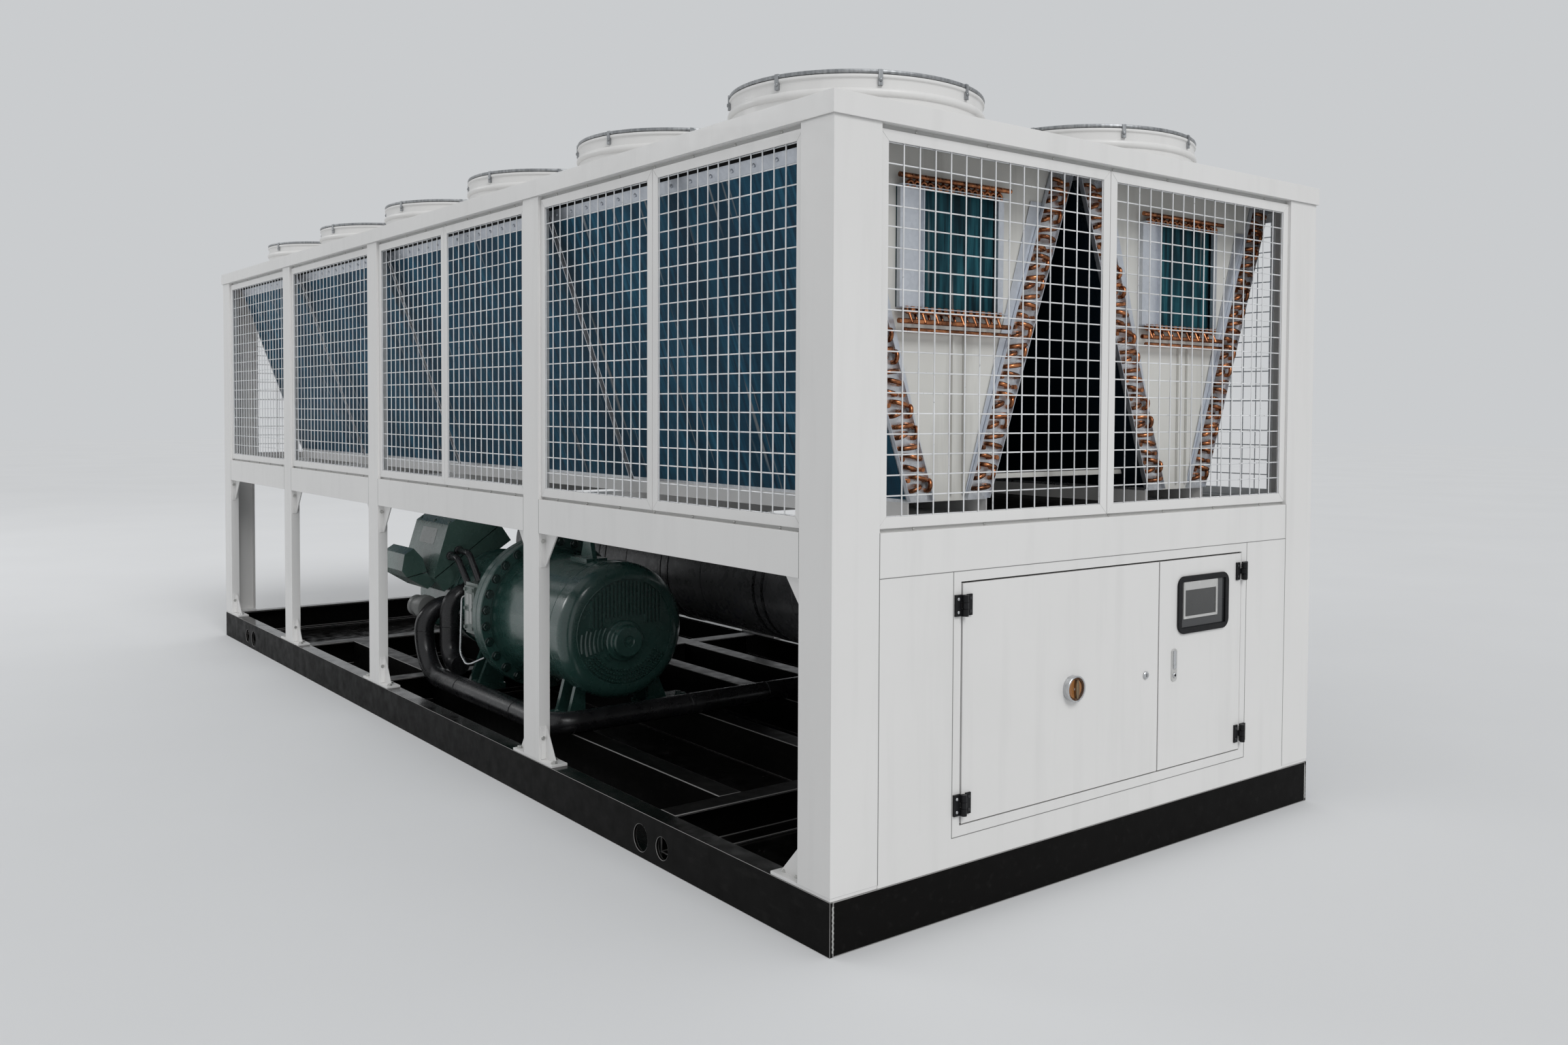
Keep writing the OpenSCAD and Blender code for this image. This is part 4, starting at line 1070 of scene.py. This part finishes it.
def compressor_casing():
    """Rotor casing behind the flange: stepped barrel, cast rings, bolts, feet and valve block."""
    build = Build()
    at = (0, COMP_Y, COMP_Z)
    back = (-1, 0, 0)
    f = -FLANGE_X
    r = FLANGE_R
    profile = [(0.10, f + 0.0005), (r - 0.003, f + 0.0005), (r, f + 0.004), (r, f + 0.041),
               (r - 0.004, f + 0.045), (0.290, f + 0.045), (0.276, f + 0.052), (0.237, f + 0.112),
               (CASING_R, f + 0.132), (CASING_R, f + 0.975), (0.229, f + 0.980), (0.190, f + 0.982),
               (0.185, f + 0.988), (0.185, f + 1.032), (0.178, f + 1.040), (0.03, f + 1.040)]
    build.lathe(profile, at, back, 96)
    for x in (-0.020, 0.250):
        band = [(0.236, x), (0.2425, x + 0.003), (0.2425, x + 0.022), (0.236, x + 0.025)]
        build.lathe(band, at, back, 96)
    build.bolt_ring((FLANGE_X - 0.045, COMP_Y, COMP_Z), -1, BOLT_RING_R, 28, 0.017)
    build.bolt_ring((FLANGE_X - 0.9805, COMP_Y, COMP_Z), -1, 0.212, 16, 0.011)
    feet(build, FLANGE_X - 0.340, FLANGE_X - 0.180, COMP_Z - 0.130, 0.045)
    valve_block(build)
    build.done("compressor_casing_dressed", [GREEN, TAG, BLOCK, PLATE_STEEL],
               replaces=["compressor_casing"], sharp=32)


def valve_block(build):
    """Light valve block beside the flange, with bare plates, bolts and plugs below."""
    y = COMP_Y - 0.245
    out = (0, -1, 0)
    build.box((0.040, y - 0.055, 0.425), (0.172, y + 0.070, 0.660), 2)
    build.box((0.052, y - 0.068, 0.440), (0.160, y - 0.054, 0.645), 2)
    build.box((0.176, y - 0.042, 0.440), (0.216, y + 0.070, 0.600), 2)
    for z in (0.455, 0.542, 0.630):
        for x in (0.064, 0.148):
            build.bolt((x, y - 0.068, z), out, 0.0085, 2)
    for x0, z0, x1, z1 in ((0.076, 0.470, 0.104, 0.530), (0.110, 0.475, 0.138, 0.612),
                           (0.074, 0.560, 0.104, 0.612)):
        build.box((x0, y - 0.070, z0), (x1, y - 0.0675, z1), 1)
    for x, z, r in ((0.120, 0.372, 0.032), (0.060, 0.340, 0.026), (0.150, 0.310, 0.024)):
        wall = COMP_Y - math.sqrt(max(0.0, CASING_R ** 2 - (COMP_Z - z) ** 2)) + 0.015
        plug = [(r, 0.0), (r, 0.05), (r * 0.8, 0.055), (r * 0.8, 0.075), (r * 0.4, 0.08)]
        build.lathe(plug, (x, wall, z), out, 16)
        build.lathe([(r * 0.5, 0.078), (r * 0.5, 0.092), (r * 0.3, 0.096)], (x, wall, z), out, 6, 3)


def terminal_box():
    """Leaning terminal box: body, chamfered lid with screws and a bare plate, small side box."""
    build = Build()
    lean = Matrix.Translation((0, COMP_Y, COMP_Z)) @ Matrix.Rotation(math.radians(34), 4, "X")
    x1 = FLANGE_X - 0.570
    body = [(-0.198, 0.190), (0.216, 0.190), (0.216, 0.286), (-0.198, 0.270)]
    lid = [(0.219, 0.291), (0.188, 0.400), (0.152, 0.447), (0.000, 0.447), (-0.180, 0.300), (-0.201, 0.275)]
    small = [(-0.198, 0.235), (-0.198, 0.300), (-0.286, 0.337), (-0.240, 0.232)]
    small_lid = [(-0.196, 0.305), (-0.175, 0.372), (-0.184, 0.438), (-0.235, 0.440), (-0.290, 0.382),
                 (-0.290, 0.342)]
    for outline, back, length in ((body, 0.410, 0.410), (lid, 0.413, 0.416), (small, 0.330, 0.270),
                                  (small_lid, 0.330, 0.270)):
        build.prism(outline, lean @ across_at(x1 - back), length)
    top = lean.to_3x3() @ UP
    for x in (x1 - 0.39, x1 - 0.205, x1 - 0.02):
        for e in (0.018, 0.135):
            build.screw(lean @ Vector((x, e, 0.447)), top, 0.009)
    plate = [(-0.082, 0.3795), (-0.020, 0.4302), (-0.0212, 0.4316), (-0.0832, 0.3809)]
    build.prism(plate, lean @ across_at(x1 - 0.300), 0.190, 1)
    build.done("compressor_terminal_box_dressed", [BOX_GREEN_PAINTED_LIGHT, TAG],
               replaces=["compressor_terminal_box"], edge=0.005, sharp=25)


def insulated_pipe(name, route, radii, bands, steps=14, sides=28, band=0.0022, facets=6):
    """One pipe in foam on its CAD route, with a thin ring at each joint of the foam."""
    build = Build()
    build.tube(rounded_path(route, radii, steps), PIPE_R, sides)
    for spot, axis in bands:
        build.ring(spot, axis, PIPE_R, band, 32, facets)
    build.done(name + "_dressed", [FOAM], replaces=[name], sharp=50)


def pipes():
    """The three insulated pipes of the compressor."""
    x = FLANGE_X - 0.250
    z = EVAP_Z + 0.72 * EVAP_R
    route = [(x, COMP_Y, COMP_Z + 0.215), (x, COMP_Y, z), (x, EVAP_Y - 0.14, z)]
    insulated_pipe("suction_pipe", route, [0.110], [((x, COMP_Y, COMP_Z + 0.262), UP)], 8, 24, 0.006, 8)

    x0 = FLANGE_X - 0.570
    x1 = COMP_X + 0.075
    wall = COMP_Y - 0.215
    y = COMP_Y - 0.370
    z = RAIL_H + PIPE_R
    top = COMP_Z - 0.018
    route = [(x0, wall, top), (x0, y, top), (x0, y, z), (x1, y, z), (x1, EVAP_Y, z),
             (x1, EVAP_Y, EVAP_Z - EVAP_R + 0.02)]
    bands = [((x0, y, 0.396), UP), ((0.16, y, z), ALONG), ((0.75, y, z), ALONG),
             ((x1, -0.30, z), (0, 1, 0)), ((x1, 0.10, z), (0, 1, 0))]
    insulated_pipe("liquid_pipe", route, [0.110, 0.200, 0.110, 0.110], bands)

    x0 = FLANGE_X - 0.470
    y = COMP_Y - 0.285
    z = RAIL_H + 0.100
    top = COMP_Z + 0.053
    route = [(x0, wall, top), (x0, y, top), (x0, y, z), (FLANGE_X - 0.337, y, z)]
    insulated_pipe("economiser_pipe", route, [0.100, 0.100], [((x0, y, 0.42), UP)])


def small_lines():
    """Thin steel line by the economiser pipe and the rigid conduits of the terminal box."""
    line = Build()
    y = COMP_Y - 0.290
    route = [(0.050, y + 0.010, 0.585), (-0.035, y, 0.585), (-0.045, y - 0.005, 0.310),
             (0.045, y - 0.010, 0.268), (0.075, y + 0.060, 0.300)]
    line.tube(rounded_path(route, [0.030, 0.040, 0.030]), 0.0055, 10)
    line.done("steel_line", [PLATE_STEEL], sharp=60)
    conduits = Build()
    gland = [(0.022, 0.0), (0.022, 0.020), (0.017, 0.026)]
    for k in range(2):
        d = 0.040 * k
        z = 0.745 + 0.025 * k
        route = [(-0.310, -0.800 + d, z), (-0.180 + d, -0.812 + d, z), (-0.070 + d, -0.790 + d, 0.600),
                 (0.045, -0.780 + 0.5 * d, 0.590 - 0.01 * k)]
        conduits.tube(rounded_path(route, [0.060, 0.060], 10), 0.0155, 16)
        conduits.lathe(gland, (-0.302, -0.800 + d, z), (1, -0.1, 0), 12)
    conduits.done("terminal_conduits", [STRAP], sharp=60)


def service_valve():
    """Grey cast valve on the top bend of the liquid pipe, with bolts and a cap."""
    build = Build()
    at = Vector((FLANGE_X - 0.608, COMP_Y - 0.345, COMP_Z - 0.026))
    axis = (-1, -0.25, 0.05)
    build.lathe([(0.030, -0.02), (0.056, -0.015), (0.058, 0.000), (0.058, 0.020), (0.052, 0.024),
                 (0.045, 0.030), (0.045, 0.062), (0.050, 0.066), (0.050, 0.082), (0.044, 0.086),
                 (0.022, 0.090), (0.020, 0.110), (0.010, 0.114)], at, axis, 32)
    turn = axis_frame(at, axis)
    for k in range(6):
        spot = turn @ Vector((*turned(math.pi * k / 3, 0.049), 0.021))
        build.bolt(spot, turn.to_3x3() @ UP, 0.007)
    low = at + Vector((-0.03, -0.01, -0.055))
    build.lathe([(0.022, 0.0), (0.024, 0.012), (0.024, 0.045), (0.014, 0.05)], low, (0, 0, -1), 20)
    build.done("service_valve", [VALVE], sharp=40)


def evaporator():
    """Insulated shell: wrapped sheets with seams, strap pairs, capped heads with flange bolts."""
    build = Build()
    at = (0, EVAP_Y, EVAP_Z)
    r = EVAP_R
    head = [(0.05, 0.0), (r - 0.048, 0.0), (r - 0.040, 0.008), (r - 0.040, 0.054), (r - 0.008, 0.058),
            (r - 0.001, 0.066)]
    profile = [(d, EVAP_X0 + x) for d, x in head]
    for s in (-1.05, -0.32, 0.42, 1.18):
        profile += [(r - 0.001, s - 0.006), (r - 0.0045, s), (r - 0.001, s + 0.006)]
    profile += [(d, EVAP_X1 - x) for d, x in reversed(head)]
    build.lathe(profile, at, ALONG, 96)
    for x in (0.030, 0.100, -0.560, -0.630, 0.880, 0.950, 1.640, 1.710):
        band = [(r - 0.002, x - 0.010), (r + 0.002, x - 0.009), (r + 0.002, x + 0.009),
                (r - 0.002, x + 0.010)]
        build.lathe(band, at, ALONG, 96, 1)
    build.box((-1.69, EVAP_Y - 0.006, EVAP_Z + r - 0.003), (1.99, EVAP_Y + 0.006, EVAP_Z + r + 0.0015))
    for end, x in ((1, EVAP_X1), (-1, EVAP_X0)):
        build.bolt_ring((x, EVAP_Y, EVAP_Z), end, 0.205, 16, 0.013, 2)
    # The shell's foam is painted lighter than the black pipe foam, as painted light.
    build.done("evaporator_shell_dressed", [SHELL_FOAM_PAINTED_LIGHT, STRAP, BOLT_ZINC],
               replaces=["evaporator_shell"], sharp=40)


def fasteners():
    """Bolts of the foot plates, and the screws above and below the mesh frames."""
    build = Build()
    levels = (FASCIA_Z - 0.0065, BEAM_TOP + 0.005)
    deep = 0.020
    for side in (-1, 1):
        y = side * (HY - 0.034)
        for c in POST_X:
            for d in (-0.145, -0.100, 0.100, 0.145):
                shift = 0.012 if abs(d) > 0.12 else -0.012
                build.bolt((c + d, y + side * shift, FOOT_Z), UP, 0.010)
        for end in (-1, 1):
            for d in (0.185, 0.245):
                build.bolt((end * (HX - d), y, FOOT_Z), UP, 0.010)
        for i, (x0, x1) in enumerate(BAYS):
            n = 7 if i < 2 else 5
            for k in range(n):
                for z in levels:
                    spot = (x0 + (x1 - x0) * (k + 0.5) / n, side * (HY - deep), z)
                    build.screw(spot, (0, side, 0), 0.0052)
    for end in (-1, 1):
        for k in range(7):
            for z in levels:
                spot = (end * (HX - deep), -END_HALF + 2 * END_HALF * (k + 0.5) / 7, z)
                build.screw(spot, (end, 0, 0), 0.0052)
    build.done("frame_fasteners", [BOLT_ZINC], sharp=40)


def mesh_rails():
    """Recessed sheet strips above and below the mesh frames, which the screws go into, in mid grey as
    painted shade of the recess.
    """
    build = Build()
    out = 0.020
    back = out + 0.003
    for z0, z1 in ((BEAM_TOP - 0.003, MESH_LO.z + 0.006), (MESH_HI.z - 0.006, FASCIA_Z + 0.012)):
        for side in (-1, 1):
            for x0, x1 in BAYS:
                build.box((x0, side * (HY - out), z0), (x1, side * (HY - back), z1))
        for end in (-1, 1):
            build.box((end * (HX - out), -END_HALF, z0), (end * (HX - back), END_HALF, z1))
    build.done("mesh_rails", [RECESS_SHADE_GREY], edge=0.0006)


def gusset_flanges():
    """Bent flanges of the gussets on the post sides, above and below, with their bolts."""
    plates = Build()
    bolts = Build()
    thick = 0.0035
    for side in (-1, 1):
        for x, way in POST_SIDES:
            face = x + way * thick
            for z0, z1, bolt_z in ((BEAM_Z - 0.128, BEAM_Z - 0.001, BEAM_Z - 0.030),
                                   (FOOT_Z + 0.001, FOOT_Z + 0.122, FOOT_Z + 0.080)):
                plates.box((x, side * (HY - 0.008), z0), (face, side * (HY - 0.027), z1))
                bolts.bolt((face, side * (HY - 0.016), bolt_z), (way, 0, 0), 0.0065)
    plates.done("gusset_flanges", [WHITE], edge=0.001)
    bolts.done("gusset_bolts", [BOLT_ZINC], sharp=40)


def welds():
    """Weld beads down the base corners."""
    build = Build()
    for sx in (-1, 1):
        for sy in (-1, 1):
            path = []
            for k in range(24):
                y = sy * (HY - 0.010 + 0.0012 * math.sin(2.4 * k))
                path.append((sx * (HX - 0.0005), y, 0.012 + 0.126 * k / 23))
            build.tube(path, 0.0032, 7)
    build.done("base_welds", [BOLT_ZINC], sharp=60)


def operating_panel():
    """Display unit behind the door window: bezel with a deep top bar, and display."""
    bezel = Build()
    screen = Build()
    y0 = HMI_LO.y + 0.030
    z0 = HMI_LO.z + 0.050
    bar = 0.009
    place = across_at(DOOR_X + 0.0002)
    opening = bezel.mitred((y0, z0), (y0 + 0.190, HMI_HI.z - 0.020), bar, 3.2 * bar, place, 0.006)
    bezel.done("display_bezel", [BEZEL], body="right_door", edge=0.0012)
    screen.prism(opening, place, 0.003)
    screen.done("display", [LCD], body="right_door", edge=0.0006)


def left_door_fittings():
    """Dial plate and ring of the switch, and the lock."""
    build = Build()
    at = (DOOR_X, SWITCH_Y, SWITCH_Z)
    build.lathe([(0.0355, 0.0062), (0.0355, 0.0075), (0.0335, 0.0078)], at, ALONG, 48, 1)
    build.lathe([(0.0402, 0.0185), (0.0412, 0.0195), (0.0412, 0.0215), (0.0400, 0.0225),
                 (0.0365, 0.0225), (0.0355, 0.0205), (0.0365, 0.0185)], at, ALONG, 56, closed=True)
    build.lathe([(0.013, 0.0), (0.013, 0.004), (0.011, 0.006), (0.008, 0.006)],
                (DOOR_X, LOCK_Y, LOCK_Z), ALONG, 24)
    build.box((DOOR_X + 0.0055, LOCK_Y - 0.0015, LOCK_Z - 0.006),
              (DOOR_X + 0.0065, LOCK_Y + 0.0015, LOCK_Z + 0.006), 2)
    build.done("left_door_fittings", [PLATE_STEEL, AMBER, PANEL_BLACK], body="left_door",
               sharp=30)


def right_door_latch():
    """Latch with a round ended plate, a folded lever and its lock barrel."""
    build = Build()
    y = LATCH_Y
    outline = []
    for dy, z, start in ((0.003, 0.657, 0), (-0.003, 0.657, 90), (-0.003, 0.571, 180),
                         (0.003, 0.571, 270)):
        outline += arc(y + dy, z, 0.012, start, start + 90, 5)
    build.prism(outline, across_at(DOOR_X), 0.0025)
    build.box((DOOR_X + 0.002, y - 0.0075, 0.602), (DOOR_X + 0.0055, y + 0.0075, 0.662), 2)
    build.box((DOOR_X + 0.005, y - 0.0065, 0.604), (DOOR_X + 0.0075, y + 0.0065, 0.614), 2)
    barrel = [(0.0085, 0.0), (0.0085, 0.003), (0.007, 0.0045)]
    build.lathe(barrel, (DOOR_X + 0.0025, y, 0.580), ALONG, 20, 2)
    build.lathe([(0.0045, 0.0), (0.0045, 0.001)], (DOOR_X + 0.0066, y, 0.580), ALONG, 16, 1)
    build.done("right_door_latch", [BEZEL, PANEL_BLACK, PLATE_STEEL], body="right_door",
               edge=0.0006, sharp=30)


def switch_knob():
    """Amber dial with a bronze grip bar that tapers to its ends."""
    build = Build()
    x = DOOR_X + 0.008
    dial = [(0.0082, 0.0), (0.029, 0.0), (0.030, 0.001), (0.030, 0.006), (0.028, 0.008), (0.0082, 0.008)]
    build.lathe(dial, (x, SWITCH_Y, SWITCH_Z), ALONG, 48, closed=True)
    grip = [(-0.0035, -0.029), (0.0035, -0.029), (0.007, -0.012), (0.007, 0.012), (0.0035, 0.029),
            (-0.0035, 0.029), (-0.007, 0.012), (-0.007, -0.012)]
    build.prism(grip, across_at(x + 0.0075, SWITCH_Y, SWITCH_Z), 0.0105, 1)
    build.done("main_switch_knob_dressed", [AMBER, BRONZE], body="main_switch_knob",
               replaces=["main_switch_knob"], edge=0.0012, sharp=30)


def door_seals():
    """Dark rubber strips in the gaps round the doors, fixed to the surround."""
    build = Build()
    lo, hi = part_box("door_surround")
    rim = 0.0312
    thick = 0.003
    y0 = lo.y + rim
    y1 = hi.y - rim
    z0 = lo.z + rim
    z1 = hi.z - rim
    for a, b in (((y0, z0), (y0 + thick, z1)), ((y1 - thick, z0), (y1, z1)),
                 ((y0, z0), (y1, z0 + thick)), ((y0, z1 - thick), (y1, z1))):
        build.box((HX - 0.030, *a), (HX - 0.012, *b))
    build.done("door_seals", [PANEL_BLACK], edge=0.0006)


def panel_seams():
    """Thin dark joints between the sheets of the control end and where the beams meet the posts."""
    build = Build()
    half = 0.0012
    x0 = HX - 0.0010
    x1 = HX + 0.0004
    w = END_HALF
    lo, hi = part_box("door_surround")
    for y in (lo.y, hi.y):
        build.box((x0, y - half, lo.z), (x1, y + half, BEAM_Z))
    build.box((x0, lo.y, lo.z - half), (x1, hi.y, lo.z + half))
    build.box((x0, -w, BEAM_Z - half), (x1, w, BEAM_Z + half))
    for y in (-w, w):
        build.box((x0, y - half, FOOT_Z), (x1, y + half, BEAM_TOP))
    half = 0.0008
    for side in (-1, 1):
        for x, way in POST_SIDES:
            build.box((x - half, side * (HY + 0.0003), BEAM_Z), (x + half, side * (HY - 0.0010), BEAM_TOP))
    build.done("panel_seams", [SEAM])


def hinge_screws():
    """Two screws in each leaf of each door hinge: black in the moving leaf, bare in the fixed one."""
    for door, way in (("left_door", 1), ("right_door", -1)):
        lo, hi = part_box(door)
        y = lo.y + 0.009 if way > 0 else hi.y - 0.009
        moving = Build()
        fixed = Build()
        for z in (lo.z + 0.058, hi.z - 0.062):
            for dz in (-0.019, 0.019):
                moving.screw((DOOR_X + 0.006, y + way * 0.027, z + dz), ALONG, 0.0048)
                fixed.screw((HX + 0.008, y - way * 0.020, z + dz), ALONG, 0.0048)
        moving.done(door + "_hinge_screws", [STRAP], body=door)
        fixed.done(door + "_surround_screws", [PLATE_STEEL])


def floor():
    """Pale floor just under the part."""
    mesh = bpy.data.meshes.new("floor")
    s = 60.0
    mesh.from_pydata([(-s, -s, 0), (s, -s, 0), (s, s, 0), (-s, s, 0)], [], [(0, 1, 2, 3)])
    ground = bpy.data.objects.new("floor", mesh)
    ground.location.z = -0.0005
    p = Paint("floor_pale", (0.80, 0.81, 0.82), 0.65, specular=0.0)
    p.set("Base Color", p.patches(0.6, 3.0, (0.3, (0.79, 0.80, 0.81)), (0.7, (0.81, 0.82, 0.83))))
    mesh.materials.append(p.mat)
    bpy.context.scene.collection.objects.link(ground)


def studio():
    """World that lights the part evenly and shows as a grey backdrop that meets the floor."""
    world = bpy.data.worlds.new("studio")
    world.use_nodes = True
    tree = world.node_tree
    lit = tree.nodes["Background"]
    seen = tree.nodes.new("ShaderNodeBackground")
    for shade, color, strength in ((lit, (0.98, 0.99, 1.0), 0.50), (seen, (0.590, 0.604, 0.618), 1.0)):
        feed(tree, shade.inputs["Color"], color)
        feed(tree, shade.inputs["Strength"], strength)
    path = tree.nodes.new("ShaderNodeLightPath")
    ray = path.outputs["Is Camera Ray"]
    for kind in ("Is Glossy Ray", "Is Transmission Ray"):
        either = tree.nodes.new("ShaderNodeMath")
        either.operation = "MAXIMUM"
        feed(tree, either.inputs[0], ray)
        feed(tree, either.inputs[1], path.outputs[kind])
        ray = either.outputs[0]
    mix = tree.nodes.new("ShaderNodeMixShader")
    for k, source in enumerate((ray, lit.outputs[0], seen.outputs[0])):
        feed(tree, mix.inputs[k], source)
    feed(tree, tree.nodes["World Output"].inputs["Surface"], mix.outputs[0])
    bpy.context.scene.world = world


def lamps():
    """A broad key light and a large softbox far out."""
    key = bpy.data.lights.new("key", "SUN")
    key.energy = 1.20
    key.angle = math.radians(28.0)
    aimed(key, (0.0, 0.0, 0.0), Vector((-9.0, 1.5, -8.0)))
    softbox = bpy.data.lights.new("softbox", "AREA")
    softbox.shape = "RECTANGLE"
    softbox.size = 5.0
    softbox.size_y = 2.6
    softbox.energy = 190.0
    place = Vector((-11.0, -9.0, 7.0))
    aimed(softbox, place, Vector((0.5, 0.0, 0.6)) - place)


def aimed(data, at, ahead):
    """Sets a light at a place and turns it along ahead."""
    light = bpy.data.objects.new(data.name, data)
    light.location = at
    light.rotation_euler = ahead.to_track_quat("-Z", "Y").to_euler()
    bpy.context.scene.collection.objects.link(light)


def camera():
    """Camera fitted to the corners of the frame in the photograph."""
    azimuth = math.radians(50.53162)
    dip = math.radians(1.93389)
    roll = math.radians(0.37653)
    ahead = Vector((-math.sin(azimuth) * math.cos(dip), math.cos(azimuth) * math.cos(dip), -math.sin(dip)))
    right = Vector((math.cos(azimuth), math.sin(azimuth), 0.0))
    up = right.cross(ahead)
    side = math.cos(roll) * right + math.sin(roll) * up
    top = -math.sin(roll) * right + math.cos(roll) * up
    data = bpy.data.cameras.new("photo_camera")
    data.sensor_width = 36.0
    data.lens = 29.746
    data.shift_x = -0.05188
    data.shift_y = -0.04266
    data.clip_end = 200.0
    cam = bpy.data.objects.new("photo_camera", data)
    place = Matrix.Translation((5.83404, -3.23812, 1.45804))
    cam.matrix_world = place @ Matrix((side, top, -ahead)).transposed().to_4x4()
    bpy.context.scene.collection.objects.link(cam)
    bpy.context.scene.camera = cam


paint_nodes()
dress_frame()
mesh_panels()
fans()
rotors()
coil_ends()
coil_top_channels()
compressor_motor()
compressor_casing()
terminal_box()
pipes()
service_valve()
small_lines()
evaporator()
fasteners()
mesh_rails()
gusset_flanges()
welds()
operating_panel()
left_door_fittings()
switch_knob()
right_door_latch()
door_seals()
panel_seams()
hinge_screws()
floor()
studio()
lamps()
camera()
bpy.context.scene.view_settings.view_transform = "Standard"
